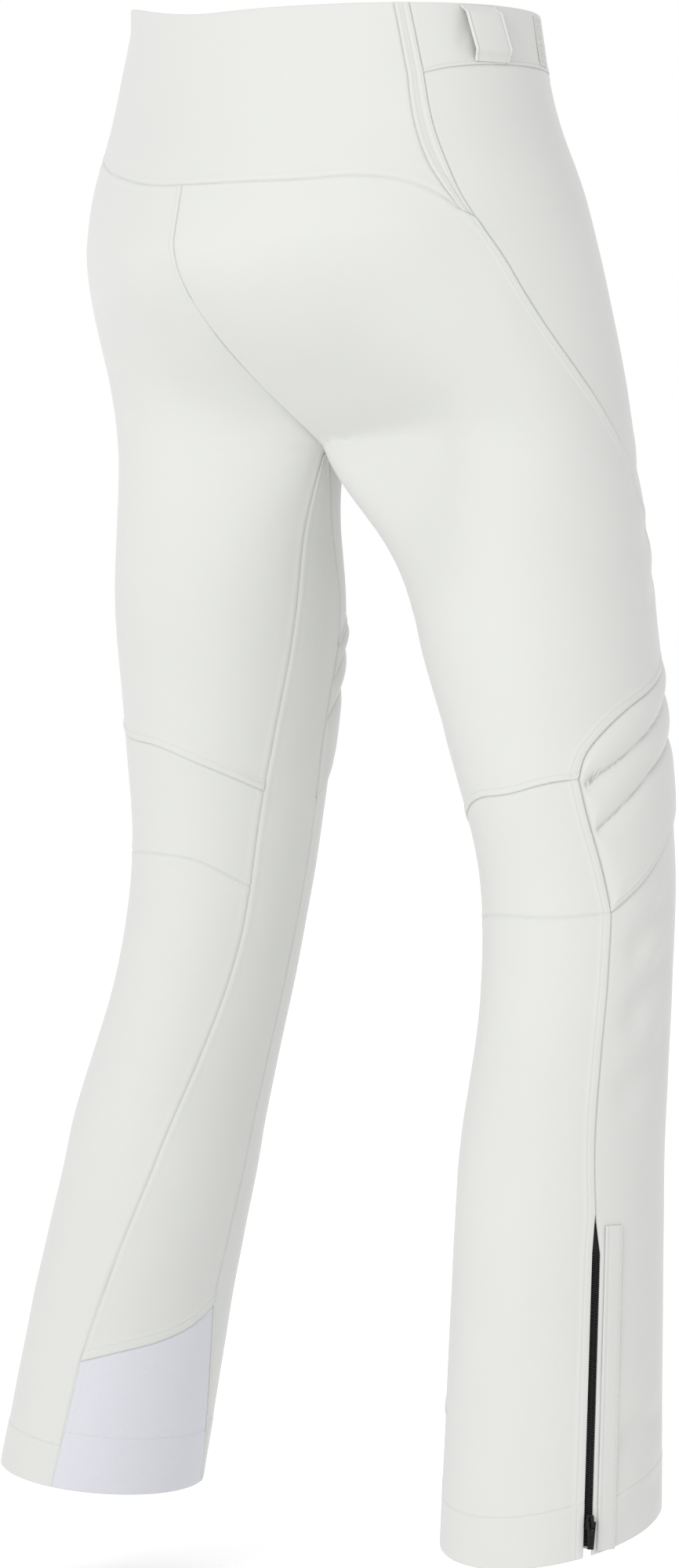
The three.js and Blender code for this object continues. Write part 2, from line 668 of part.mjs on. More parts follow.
function addLegZip(side) {
  const name = `${sideName[side]}_leg_zip`;
  const hem = hemDrop(side, zipU);
  const top = hem - legZipLength;
  const perU = aroundLength(side, zipU, 850);
  add(`${name}_coil`, strip(side, zipU, top + zipMouth, hem - 4, zipGap - 2 * layerGap, {
    lift: -0.3, thickness: coilThickness, down: 3 }), blackZip);
  add(`${name}_tape`, strip(side, zipU, top - 10, hem - 6, tapeWidth, {
    lift: -shellCloth - 2 * layerGap, thickness: tapeThickness, across: 4, down: 4 }), blackZip);
  const placketU = zipU - (zipGap / 2 + placketClear + placketWidth / 2) / perU;
  add(`${name}_placket`, strip(side, placketU, top - 8, hem - 3, placketWidth, {
    lift: layerGap + placketCloth, thickness: placketCloth }), softshell);
  const frame = clothFrame(side, zipU, top, hem);
  const rest = frame.low.clone().addScaledVector(frame.up, sliderAboveHem);
  addSlider(name, frame, rest, sliderLift, true);
}

function addGaiter(side) {
  const name = sideName[side];
  const ring = { around: true, across: 24, margin: 0 };
  add(`${name}_snow_gaiter`, sheet(side, rectangle(0, 1, gaiterTop, gaiterBottom), {
    ...ring, down: 3, lift: -gaiterClearance, thickness: gaiterCloth }), lightLining);
  const low = gaiterBottom + layerGap;
  add(`${name}_gaiter_elastic`, sheet(side, rectangle(0, 1, low, low + elasticHeight), {
    ...ring, down: 1, lift: elasticRise - gaiterClearance, thickness: elasticThickness }), rib);
}

function addPocket(side) {
  const name = `${sideName[side]}_pocket`;
  const zipFace = 2 * layerGap + zipStripThickness;
  add(`${name}_zip`, strip(side, pocketU, pocketTop, pocketBottom, pocketZipWidth, {
    lift: zipFace, thickness: zipStripThickness, down: 5 }), blackZip);
  const bag = rectangle(pocketU - bagReach, pocketU + bagReach, pocketTop, pocketBottom + bagBelow);
  add(`${name}_bag`, sheet(side, bag, {
    across: 7, down: 5, lift: -shellCloth - innerGap - layerGap, thickness: bagThickness, margin: 0,
  }), lightLining);
  const frame = clothFrame(side, pocketU, pocketTop, pocketBottom);
  const rest = frame.top.clone().addScaledVector(frame.up, -sliderLength);
  addSlider(name, frame, rest, zipFace + sliderLift + frame.outward, false);
}

// The fly zip lies behind the front panels' meeting edges, its slider on the inside.
function addFly() {
  const coilFace = -shellCloth - innerGap;
  const tapeFace = coilFace - coilThickness - 2 * layerGap;
  add('fly_coil', strip(1, 0, flyTop, flyBottom, zipGap - 2 * layerGap, {
    lift: coilFace, thickness: coilThickness, down: 5 }), blackZip);
  add('fly_tape', strip(1, 0, flyTop - 4, flyBottom + 4, tapeWidth, {
    lift: tapeFace, thickness: tapeThickness, across: 4, down: 5 }), blackZip);
  const frame = clothFrame(1, 0, flyTop, flyBottom);
  frame.out.negate();
  frame.across.negate();
  const rest = frame.top.clone().addScaledVector(frame.up, -sliderLength);
  addSlider('fly_zip', frame, rest, tapeThickness - tapeFace + sliderLift + frame.inward, false);
}

function addWaist() {
  const liningLow = waistbandHeight - liningShort;
  add('back_yoke', sheet(-1, {
    left: bandBack, right: mirrorSeam(bandBack),
    top: straightSeam(bandBack(0), mirrorSeam(bandBack)(0)),
    low: chain([yokeLow, yokeColumns], [(t) => mirrorSeam(yokeLow)(1 - t), yokeColumns]),
  }, { across: 2 * yokeColumns, down: bandRows }), softshell);
  add('waist_lining', sheet(-1, rectangle(liningFromU, 2 - liningFromU, 1, liningLow), {
    across: 48, down: 1, lift: -shellCloth - innerGap, thickness: liningCloth, margin: 0,
  }), rib);
  const loopFace = -shellCloth - innerGap - liningCloth;
  const hang = (s, t) => loopFace - layerGap - loopLift * Math.sin(Math.PI * s) ** 0.6;
  add('hanging_loop', sheet(-1, rectangle(1 - hangHalfU, 1 + hangHalfU, 6, 12), {
    across: 10, down: 1, lift: hang, thickness: loopCloth, margin: 0 }), rib);
}

// Side belt loops: a strap sewn down at both ends and standing off between them
function addBeltLoop(side) {
  const bulge = (s, t) => layerGap + loopCloth + loopLift * ease(5 * t) * ease(5 * (1 - t));
  const front = straightSeam([loopU + loopLean, loopMargin], [loopU, waistbandHeight - loopMargin]);
  const back = shiftSeam(front, loopWidthU);
  add(`${sideName[side]}_belt_loop`, sheet(side, {
    left: front, right: back,
    top: straightSeam(front(0), back(0)), low: straightSeam(front(1), back(1)),
  }, { across: 3, down: 12, lift: bulge, thickness: loopCloth, margin: 0 }), softshell);
}

function disc(radius, thickness) {
  const round = new THREE.CylinderGeometry(radius, radius, thickness, 20);
  return round.rotateX(Math.PI / 2).translate(0, 0, thickness / 2);
}

// The tab is sewn to the left waistband and laps over the right one, with two snaps.
function addWaistTab() {
  const tabBottom = waistbandHeight - tabMargin;
  add('waist_tab', sheet(1, rectangle(-tabReachU, tabRootU, tabMargin, tabBottom), {
    across: 8, down: 1, lift: tabLift + tabCloth, thickness: tabCloth, margin: 0 }), softshell);
  const drop = waistbandHeight / 2;
  snapUs.forEach((u, i) => {
    const out = bodyNormal(1, u, drop);
    const turn = new THREE.Quaternion().setFromUnitVectors(new THREE.Vector3(0, 0, 1), out);
    const place = (name, radius, thickness, lift) => {
      const snap = add(`${name}_${i + 1}`, disc(radius, thickness), blackMetal);
      snap.quaternion.copy(turn);
      snap.position.copy(liftedPoint(1, u, drop, lift));
    };
    place('snap_cap', snapRadius, snapThickness, tabLift + tabCloth + layerGap);
    place('snap_stud', studRadius, tabLift - 3 * layerGap, 2 * layerGap);
  });
}

for (const side of [-1, 1]) {
  addShell(side);
  addBeltLoop(side);
  addLegZip(side);
  addGaiter(side);
  addPocket(side);
}
addWaist();
addFly();
addWaistTab();

export default pants;
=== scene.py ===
# Stretch softshell ski pants in their worn shape: sewn panels, padded knees, zips and trims.
import json
import math
import bpy
import numpy as np
from mathutils import Matrix, Vector

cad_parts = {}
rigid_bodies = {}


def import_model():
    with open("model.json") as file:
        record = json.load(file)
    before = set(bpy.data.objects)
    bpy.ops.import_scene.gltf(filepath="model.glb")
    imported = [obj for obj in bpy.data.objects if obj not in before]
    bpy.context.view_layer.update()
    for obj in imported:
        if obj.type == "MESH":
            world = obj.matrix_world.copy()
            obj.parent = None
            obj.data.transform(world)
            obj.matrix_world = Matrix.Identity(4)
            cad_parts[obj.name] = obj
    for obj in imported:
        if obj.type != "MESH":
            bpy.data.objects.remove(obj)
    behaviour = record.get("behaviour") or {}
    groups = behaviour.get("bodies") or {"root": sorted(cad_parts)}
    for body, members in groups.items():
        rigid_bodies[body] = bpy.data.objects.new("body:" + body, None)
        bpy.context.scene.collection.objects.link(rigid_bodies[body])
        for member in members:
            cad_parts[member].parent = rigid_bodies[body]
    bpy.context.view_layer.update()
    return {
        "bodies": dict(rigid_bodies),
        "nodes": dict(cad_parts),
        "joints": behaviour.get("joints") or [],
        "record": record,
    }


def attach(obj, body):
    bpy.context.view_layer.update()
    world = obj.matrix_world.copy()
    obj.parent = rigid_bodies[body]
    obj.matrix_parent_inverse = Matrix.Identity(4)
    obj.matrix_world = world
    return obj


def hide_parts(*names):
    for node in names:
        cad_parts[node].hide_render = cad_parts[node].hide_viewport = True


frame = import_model()
bpy.ops.object.select_all(action="DESELECT")
print("frame loaded")


# Camera: behind the wearer's right hip, almost level
cameraSet = {"azimuth": 230, "distance": 3.072, "height": -0.340, "side": -0.014,
             "pitch": 2.777, "lens": 108.2}


def addCamera():
    azimuth = math.radians(cameraSet["azimuth"])
    back = Vector((math.sin(azimuth), -math.cos(azimuth), 0))
    right = Vector((math.cos(azimuth), math.sin(azimuth), 0))
    data = bpy.data.cameras.new("studioCamera")
    data.lens = cameraSet["lens"]
    data.sensor_width = 36
    camera = bpy.data.objects.new("studioCamera", data)
    camera.location = (back * cameraSet["distance"] + right * cameraSet["side"]
                       + Vector((0, 0, cameraSet["height"])))
    camera.rotation_euler = (math.radians(90 - cameraSet["pitch"]), 0, azimuth)
    bpy.context.collection.objects.link(camera)
    bpy.context.scene.camera = camera


addCamera()
print("camera placed")


# Materials
def fromHex(text):
    parts = [int(text[i:i + 2], 16) / 255 for i in (1, 3, 5)]
    linear = [c / 12.92 if c <= 0.04045 else ((c + 0.055) / 1.055) ** 2.4 for c in parts]
    return (*linear, 1)


def addNode(material, kind, inputs=None, **settings):
    node = material.node_tree.nodes.new(kind)
    for key, value in settings.items():
        setattr(node, key, value)
    for key, value in (inputs or {}).items():
        if isinstance(value, bpy.types.NodeSocket):
            material.node_tree.links.new(value, node.inputs[key])
        else:
            node.inputs[key].default_value = value
    return node


def bandScale(spacing):
    # A wave texture repeats every pi / 10 divided by its scale; spacing is in millimetres.
    return math.pi / 10 / (spacing / 1000)


def startMaterial(name, finish):
    material = bpy.data.materials.new(name)
    material.use_nodes = True
    shader = material.node_tree.nodes["Principled BSDF"]
    for key, value in finish.items():
        shader.inputs[key].default_value = value
    return material, shader


def wovenCloth(name, look):
    # Plain weave: warp and weft threads cross, with a slow unevenness of dye and press. The thread
    # crossings that the bump raises also get a painted highlight, a lighter colour mixed in where they
    # stand up.
    material, shader = startMaterial(name, {
        "IOR": 1.46, "Sheen Weight": look["sheen"], "Sheen Roughness": 0.4,
        "Specular IOR Level": look["specular"]})
    place = addNode(material, "ShaderNodeTexCoord")
    warp = addNode(material, "ShaderNodeTexWave", {
        "Vector": place.outputs["UV"], "Scale": bandScale(look["thread"]), "Distortion": 0.3,
        "Detail": 0.0}, bands_direction="X")
    weft = addNode(material, "ShaderNodeTexWave", {
        "Vector": place.outputs["UV"], "Scale": bandScale(look["thread"] * look["weftShare"]),
        "Distortion": 0.3, "Detail": 0.0}, bands_direction="Y")
    weave = addNode(material, "ShaderNodeMath", {
        0: warp.outputs["Fac"], 1: weft.outputs["Fac"]}, operation="MULTIPLY")
    slow = addNode(material, "ShaderNodeTexNoise", {
        "Vector": place.outputs["Object"], "Scale": 9.0, "Detail": 4.0, "Roughness": 0.5})
    tone = addNode(material, "ShaderNodeMix", {
        "Factor": slow.outputs["Fac"], 6: fromHex(look["dark"]), 7: fromHex(look["light"])},
        data_type="RGBA")
    # Painted highlight: the raised thread crossings are mixed towards a lighter colour, by the same
    # pattern as the bump
    shade = addNode(material, "ShaderNodeMix", {
        "Factor": weave.outputs[0], 6: tone.outputs[2], 7: fromHex(look["thread highlight"])},
        data_type="RGBA")
    mild = addNode(material, "ShaderNodeMix", {
        "Factor": look["threadHighlightShare"], 6: tone.outputs[2], 7: shade.outputs[2]}, data_type="RGBA")
    material.node_tree.links.new(mild.outputs[2], shader.inputs["Base Color"])
    rough = addNode(material, "ShaderNodeMapRange", {
        "Value": slow.outputs["Fac"], "To Min": look["rough"] - 0.05, "To Max": look["rough"] + 0.05})
    material.node_tree.links.new(rough.outputs["Result"], shader.inputs["Roughness"])
    creases = addNode(material, "ShaderNodeTexNoise", {
        "Vector": place.outputs["Object"], "Scale": 55.0, "Detail": 3.0, "Roughness": 0.6})
    handle = addNode(material, "ShaderNodeBump", {
        "Height": creases.outputs["Fac"], "Strength": 0.5, "Distance": look["crease"] / 1000})
    relief = addNode(material, "ShaderNodeBump", {
        "Height": weave.outputs[0], "Normal": handle.outputs["Normal"], "Strength": 0.6,
        "Distance": look["relief"] / 1000})
    material.node_tree.links.new(relief.outputs["Normal"], shader.inputs["Normal"])
    return material


def ribKnit(name, look):
    # Rib knit: upright ribs a few millimetres apart, each crossed by small stitches. The colour is
    # painted shade and highlight: darker in the grooves and lighter on the ridges, following the bump.
    material, shader = startMaterial(name, {
        "IOR": 1.46, "Roughness": 0.85, "Sheen Weight": 0.3, "Sheen Roughness": 0.5})
    place = addNode(material, "ShaderNodeTexCoord")
    ribs = addNode(material, "ShaderNodeTexWave", {
        "Vector": place.outputs["UV"], "Scale": bandScale(look["rib"])}, bands_direction="X")
    loops = addNode(material, "ShaderNodeTexWave", {
        "Vector": place.outputs["UV"], "Scale": bandScale(look["loop"]), "Distortion": 1.2},
        bands_direction="Y")
    both = addNode(material, "ShaderNodeMath", {
        0: ribs.outputs["Fac"], 1: loops.outputs["Fac"]}, operation="ADD")
    half = addNode(material, "ShaderNodeMath", {0: both.outputs[0], 1: 0.5}, operation="MULTIPLY")
    # Painted shade in the rib grooves and painted highlight on the ridges, by the same pattern as the
    # bump
    tone = addNode(material, "ShaderNodeMix", {
        "Factor": half.outputs[0], 6: fromHex(look["dark"]), 7: fromHex(look["light"])},
        data_type="RGBA")
    material.node_tree.links.new(tone.outputs[2], shader.inputs["Base Color"])
    relief = addNode(material, "ShaderNodeBump", {
        "Height": half.outputs[0], "Strength": 0.8, "Distance": look["relief"] / 1000})
    material.node_tree.links.new(relief.outputs["Normal"], shader.inputs["Normal"])
    return material


def speckled(name, look, **finish):
    # A fine even grain, as on painted zinc, moulded nylon or thread.
    material, shader = startMaterial(name, finish)
    place = addNode(material, "ShaderNodeTexCoord")
    grain = addNode(material, "ShaderNodeTexNoise", {
        "Vector": place.outputs["Object"], "Scale": 1000 / look["grain"], "Detail": 3.0})
    tone = addNode(material, "ShaderNodeMix", {
        "Factor": grain.outputs["Fac"], 6: fromHex(look["dark"]), 7: fromHex(look["light"])},
        data_type="RGBA")
    material.node_tree.links.new(tone.outputs[2], shader.inputs["Base Color"])
    rough = addNode(material, "ShaderNodeMapRange", {
        "Value": grain.outputs["Fac"], "To Min": look["rough"] - 0.08, "To Max": look["rough"] + 0.08})
    material.node_tree.links.new(rough.outputs["Result"], shader.inputs["Roughness"])
    relief = addNode(material, "ShaderNodeBump", {
        "Height": grain.outputs["Fac"], "Strength": 0.4, "Distance": look["relief"] / 1000})
    material.node_tree.links.new(relief.outputs["Normal"], shader.inputs["Normal"])
    return material


# In each woven cloth below, the third colour is a painted highlight for the raised thread crossings;
# the other two are the cloth's own uneven dye.
# Real softshell threads are 0.2 mm apart; they are drawn at 0.7 mm to show at all.
softshell = wovenCloth("wovenSoftshell", {
    "dark": "#c1c2bf", "light": "#c7c8c5", "thread highlight": "#d1d2cf", "threadHighlightShare": 0.25,
    "thread": 0.7, "weftShare": 1.0, "rough": 0.62, "sheen": 0.25, "specular": 0.35,
    "relief": 0.03, "crease": 0.25})
guardCloth = wovenCloth("abrasionTwill", {
    "dark": "#bebfc5", "light": "#c4c5cb", "thread highlight": "#cfd0d6", "threadHighlightShare": 0.5,
    "thread": 1.1, "weftShare": 0.8, "rough": 0.5, "sheen": 0.15, "specular": 0.45,
    "relief": 0.08, "crease": 0.12})
gaiterCloth = wovenCloth("ripstopNylon", {
    "dark": "#c3c5c1", "light": "#cdcecb", "thread highlight": "#dcdddb", "threadHighlightShare": 0.6,
    "thread": 5.0, "weftShare": 1.0, "rough": 0.45, "sheen": 0.1, "specular": 0.5,
    "relief": 0.1, "crease": 0.5})
pocketCloth = wovenCloth("brushedTricot", {
    "dark": "#cfd0cb", "light": "#d6d7d2", "thread highlight": "#e0e1dd", "threadHighlightShare": 0.4,
    "thread": 1.2, "weftShare": 1.4, "rough": 0.85, "sheen": 0.5, "specular": 0.2,
    "relief": 0.1, "crease": 0.2})
zipTape = wovenCloth("blackZipTape", {
    "dark": "#161616", "light": "#1c1c1b", "thread highlight": "#2b2b2a", "threadHighlightShare": 0.6,
    "thread": 0.9, "weftShare": 0.7, "rough": 0.75, "sheen": 0.2, "specular": 0.3,
    "relief": 0.12, "crease": 0.05})
# The knits' dark and light colours are painted shade in the rib grooves and painted highlight on the
# ridges.
liningKnit = ribKnit("ribbedLiningKnit", {
    "rib": 2.4, "loop": 1.3, "dark": "#b9bab5", "light": "#d8d9d4", "relief": 0.7})
elasticKnit = ribKnit("knittedElastic", {
    "rib": 1.5, "loop": 2.2, "dark": "#a9aaa6", "light": "#c4c5c1", "relief": 0.5})
thread = speckled("polyesterThread", {
    "grain": 0.6, "dark": "#bfc0bc", "light": "#cccdc9", "rough": 0.5, "relief": 0.05},
    IOR=1.5)
coilNylon = speckled("mouldedCoilNylon", {
    "grain": 0.8, "dark": "#121212", "light": "#1d1d1c", "rough": 0.42, "relief": 0.03},
    IOR=1.53)
blackMetal = speckled("matBlackZinc", {
    "grain": 0.5, "dark": "#1b1b1a", "light": "#262625", "rough": 0.36, "relief": 0.02},
    Metallic=0.75)
print("materials ready")


# The pattern, in millimetres. A cloth point is addressed by side (-1 right, 1 left),
# u (0 front centre or inseam, 0.25 front, 0.5 outer side, 0.75 back, 1 back centre or
# inseam) and drop, the distance below the waist.
pattern = {
    "rise": 268, "legDrop": 697, "baseRise": 268, "baseLegDrop": 697,
    "crotchCurve": 125, "crotchBack": 27, "archFade": 122, "legSettle": 20,
    "seatTurn": 0.09, "seatFade": 80,
    "shell": 1.6, "gap": 0.4, "innerGap": 2, "waistband": 38, "band": 10, "hem": 38,
    "zipLength": 190, "zipGap": 6, "zipU": 0.5533, "zipMouth": 8, "zipLevel": 850,
}
hips = {
    "drop": [0, 62, 119, 196, 292, 424],
    "halfWidth": [158, 172, 191, 199, 200, 198],
    "front": [110, 116, 126, 131, 122, 118],
    "back": [110, 122, 141, 160, 158, 136],
    "centre": [24, 25, 23, 14, -8, -8],
}
legs = {
    "drop": [268, 369, 454, 542, 618, 734, 849, 964],
    "out": [102, 115, 132, 146, 156, 169, 182, 195],
    "halfWidth": [64, 77, 70, 61, 58, 62, 62.5, 63],
    "depth": [64, 77, 71, 64, 63, 68, 71, 74],
    "forwardRight": [64, 48, 51, 57, 47, 22, 6, -10],
    "forwardLeft": [-38, -17, -4, 3, -4, -30, -50, -66],
}
kneeLift = {-1: 0, 1: 27}
hipLift = {"waist": 16, "yoke": 9}
hems = {-1: (944, 0.05, -0.20), 1: (960, 0.13, 0.055)}
sideName = {-1: "Right", 1: "Left"}
nodeSide = {-1: "right", 1: "left"}


def ease(value):
    value = np.clip(value, 0, 1)
    return value * value * (3 - 2 * value)


def bell(distance, centre, half):
    return np.exp(-((distance - centre) / half) ** 2)


def profile(stations, values, straightFrom=None):
    stations, values = np.array(stations, float), np.array(values, float)
    slopes = np.diff(values) / np.diff(stations)
    tangents = np.concatenate(([slopes[0]], (slopes[:-1] + slopes[1:]) / 2, [slopes[-1]]))
    if straightFrom is not None:
        tangents[straightFrom:] = slopes[-1]

    def at(place):
        place = np.asarray(place, float)
        i = np.clip(np.searchsorted(stations, place) - 1, 0, len(stations) - 2)
        h = stations[i + 1] - stations[i]
        t = (place - stations[i]) / h
        inside = (values[i] * (1 + 2 * t) * (1 - t) ** 2 + tangents[i] * h * t * (1 - t) ** 2
                  + values[i + 1] * t * t * (3 - 2 * t) + tangents[i + 1] * h * t * t * (t - 1))
        past = values[-1] + slopes[-1] * (place - stations[-1])
        return np.where(place <= stations[0], values[0], np.where(place >= stations[-1], past, inside))
    return at


hipAt = {key: profile(hips["drop"], hips[key]) for key in ("halfWidth", "front", "back", "centre")}
legAt = {key: profile(legs["drop"], legs[key], 5)
         for key in ("out", "halfWidth", "depth", "forwardRight", "forwardLeft")}


def level(drop):
    base = pattern["baseRise"]
    return np.where(drop <= base, -drop * pattern["rise"] / base,
                    -pattern["rise"] - (drop - base) * pattern["legDrop"] / pattern["baseLegDrop"])


def bodyPoint(side, u, drop):
    u, drop = np.broadcast_arrays(np.asarray(u, float), np.asarray(drop, float))
    base = pattern["baseRise"]
    over = (drop < base) & ((u < 0) | (u > 1))
    side = np.where(over, -side, side)
    u = np.where(over, np.where(u < 0, -u, 2 - u), u)
    turn = 2 * math.pi * u
    across = math.pi * np.where(drop >= base, u - np.floor(u), u)
    across = across + (side * pattern["seatTurn"] * ease((u - 0.6) / 0.4)
                       * ease((base - drop) / pattern["seatFade"]))
    below = drop - base
    soft = pattern["legSettle"]
    at = base + np.where(below > soft, below, np.maximum(below + soft, 0) ** 2 / (4 * soft))
    out, halfWidth, depth = legAt["out"](at), legAt["halfWidth"](at), legAt["depth"](at)
    forward = np.where(side < 0, legAt["forwardRight"](at), legAt["forwardLeft"](at))
    inward = np.maximum(0, np.cos(turn)) ** 2 * (1 - ease(below / pattern["archFade"]))
    innerGap = 14 * np.sqrt(np.clip(below / 60, 0, 1))
    legX = out - halfWidth * np.cos(turn) + (innerGap - (out - halfWidth)) * inward
    legY = -forward - depth * np.sin(turn) + (forward + pattern["crotchBack"]) * inward
    hipDepth = np.where(np.cos(across) > 0, hipAt["front"](drop), hipAt["back"](drop))
    hipX = hipAt["halfWidth"](drop) * np.sin(across)
    hipY = hipAt["centre"](drop) - hipDepth * np.cos(across)
    climb = np.clip(-below / pattern["crotchCurve"], 0, 1)
    outer = np.sin(across) ** 2
    # Over the back the seat runs into the thigh without a crease
    soften = np.maximum(0.4 * outer * ease((u - 0.5) / 0.15), 1e-3)
    climb = np.where(climb < soften, climb ** 2 / (2 * soften), climb - soften / 2)
    sharp = (1 - climb) ** 1.6
    gentle = 1 - ease((pattern["archFade"] - below)
                      / (pattern["crotchCurve"] + 2 * pattern["archFade"]))
    w = sharp * (1 - outer) + gentle * outer
    return np.stack([side * ((1 - w) * hipX + w * legX), (1 - w) * hipY + w * legY,
                     level(drop)], -1)


def bodyNormal(side, u, drop):
    alongU = bodyPoint(side, u + 1e-3, drop) - bodyPoint(side, u - 1e-3, drop)
    alongDrop = bodyPoint(side, u, drop + 0.5) - bodyPoint(side, u, drop - 0.5)
    normal = -side * np.cross(alongU, alongDrop)
    return normal / np.maximum(np.linalg.norm(normal, axis=-1, keepdims=True), 1e-9)


def aroundLength(side, u, drop):
    ends = bodyPoint(side, u + 5e-3, drop) - bodyPoint(side, u - 5e-3, drop)
    return float(np.linalg.norm(ends)) / 0.01


def hemDrop(side, u):
    hemLevel, slopeX, slopeY = hems[side]
    centreX = side * float(legAt["out"](hemLevel))
    forward = legAt["forwardRight" if side < 0 else "forwardLeft"](hemLevel)
    drop = np.full(np.shape(u), float(hemLevel))
    for _ in range(6):
        p = bodyPoint(side, u, drop)
        target = level(hemLevel) + slopeX * (p[..., 0] - centreX) + slopeY * (p[..., 1] + forward)
        drop = drop + p[..., 2] - target
    return drop


# Seams are curves t -> (u, drop); a chain keeps its parts' corners in its breaks.
def seam(*points):
    points = np.array(points, float)
    steps = np.hypot(np.diff(points[:, 0]) * 480, np.diff(points[:, 1]))
    knots = np.concatenate(([0], np.cumsum(steps)))
    uAt, dropAt = profile(knots, points[:, 0]), profile(knots, points[:, 1])

    def at(t):
        place = np.asarray(t, float) * knots[-1]
        return np.stack([uAt(place), dropAt(place)], -1)
    at.breaks = []
    return at


def chain(*parts):
    total = sum(rows for _, rows in parts)

    def at(t):
        step = np.asarray(t, float) * total
        start = 0
        out = None
        for curve, rows in parts:
            piece = curve(np.clip((step - start) / rows, 0, 1))
            out = piece if out is None else np.where((step > start)[..., None], piece, out)
            start += rows
        return out
    ends = np.cumsum([rows for _, rows in parts])[:-1] / total
    at.breaks = [float(end) for end in ends]
    return at


def partSeam(curve, start, end):
    at = lambda t: curve(start + (end - start) * np.asarray(t, float))
    at.breaks = []
    return at


def mirrorSeam(curve):
    at = lambda t: curve(t) * [-1, 1] + [2, 0]
    at.breaks = curve.breaks
    return at


def straightSeam(start, end):
    start, end = np.array(start, float), np.array(end, float)
    at = lambda t: start + (end - start) * np.asarray(t, float)[..., None]
    at.breaks = []
    return at


def shiftSeam(curve, du):
    at = lambda t: curve(t) + [du, 0]
    at.breaks = curve.breaks
    return at


def turnSeam(curve):
    at = lambda t: curve(1 - np.asarray(t, float))
    at.breaks = [1 - b for b in curve.breaks]
    return at


def hemSeam(side, start, end):
    def at(t):
        u = start + (end - start) * np.asarray(t, float)
        return np.stack([u, hemDrop(side, u)], -1)
    at.breaks = []
    return at


rows = {"band": 6, "waistband": 2, "fly": 9, "frontThigh": 6, "princess": 11, "padTopFront": 8,
        "padTopOuter": 5, "seat": 8, "backThigh": 8, "knee": 4, "calf": 8, "shin": 10,
        "outer": 4, "guard": 3, "yoke": 9}
sideDrop = pattern["waistband"] + 6
bandSpan = pattern["band"] / aroundLength(-1, 0.65, 60)
bandFrontTop = seam((0.668, 0), (0.658, sideDrop / 2), (0.65, sideDrop))
bandFrontLow = seam((0.65, sideDrop), (0.647, 79), (0.64, 101), (0.631, 119), (0.618, 133))
bandBackLow = seam((0.65 + bandSpan, sideDrop), (0.648 + bandSpan, 79), (0.64 + bandSpan, 100),
                   (0.65, 116), (0.636, 128))
lowBandRows = rows["band"] - rows["waistband"]
bandFront = chain((bandFrontTop, rows["waistband"]), (bandFrontLow, lowBandRows))
bandBack = chain((shiftSeam(bandFrontTop, bandSpan), rows["waistband"]),
                 (bandBackLow, lowBandRows))
yokeLow = seam((0.636, 128), (0.66, 119), (0.7, 111), (0.75, 107.5), (0.85, 109), (1, 109))
bandEnd = straightSeam((0.618, 133), (0.636, 128))
princess = seam((0.618, 133), (0.592, 157), (0.574, 179), (0.552, 201), (0.512, 231),
                (0.452, 267), (0.39, 305), (0.353, 344), (0.34, 378), (0.345, 402))
padTopFront = seam((0.085, 425), (0.13, 408), (0.2, 397), (0.28, 394), (0.345, 402))
padTopOuter = seam((0.345, 402), (0.4, 415), (0.45, 425), (0.503, 436), (0.55, 451),
                   (0.578, 464), (0.594, 479))
padOuter = seam((0.594, 479), (0.589, 504), (0.577, 532), (0.562, 563))
padLow = seam((0.07, 530), (0.13, 511), (0.2, 497), (0.28, 491), (0.375, 505), (0.445, 524),
              (0.51, 547), (0.562, 563))
kneeBackTop = seam((0.594, 479), (0.64, 482), (0.704, 489), (0.772, 493), (0.856, 506),
                   (0.952, 523))
kneeBackLow = seam((0.562, 563), (0.662, 566), (0.758, 566), (0.848, 570), (0.947, 587))
outerSeam = seam((0.562, 563), (0.563, 604), (0.566, 652), (0.564, 700), (0.557, 745))
crotchDrop = pattern["baseRise"] - 0.5
frontInnerThigh = seam((0, crotchDrop), (0.03, 290), (0.062, 325), (0.083, 370), (0.085, 425))
frontInnerKnee = seam((0.085, 425), (0.073, 470), (0.068, 503), (0.07, 530))
frontInnerShin = seam((0.07, 530), (0.07, 600), (0.066, 700), (0.058, 780), (0.052, 843))
backInnerThigh = seam((1, crotchDrop), (0.999, 305), (0.992, 361), (0.98, 428), (0.965, 482),
                      (0.952, 523))
backInnerKnee = seam((0.952, 523), (0.948, 552), (0.947, 587))
backInnerCalf = seam((0.947, 587), (0.947, 620), (0.939, 648), (0.922, 682), (0.903, 716),
                     (0.879, 765), (0.861, 806), (0.847, 845), (0.836, 876))
guardTop = seam((0.836, 876), (0.89, 870), (0.96, 863), (1.01, 855), (1.052, 843))
guardBackU, guardFrontU = 0.828, 0.118


def settle(side, u, drop):
    # The trailing knee's seams ride up with the knee, and that hip's seams with the hip.
    over = (drop < pattern["baseRise"]) & ((u < 0) | (u > 1))
    raised = np.where(over, -side, side) > 0
    turned = np.where(over, np.where(u < 0, -u, 2 - u), u)
    hip = ((hipLift["waist"] + hipLift["yoke"] * ease(drop / 110)) * ease(turned / 0.3)
           * ease((1 - turned) / 0.3) * (1 - ease((drop - 120) / 170)))
    knee = kneeLift[side] * ease((drop - 330) / 110) * ease((720 - drop) / 110)
    return drop - np.where(raised, hip, 0) - knee


def coons(edges, s, t):
    left, right, top, low = edges["left"](t), edges["right"](t), edges["top"](s), edges["low"](s)
    ends = np.array([0.0, 1.0])
    (a, c), (b, d) = edges["left"](ends), edges["right"](ends)
    s, t = s[..., None], t[..., None]
    return ((1 - s) * left + s * right + (1 - t) * top + t * low
            - (1 - t) * ((1 - s) * a + s * b) - t * ((1 - s) * c + s * d))


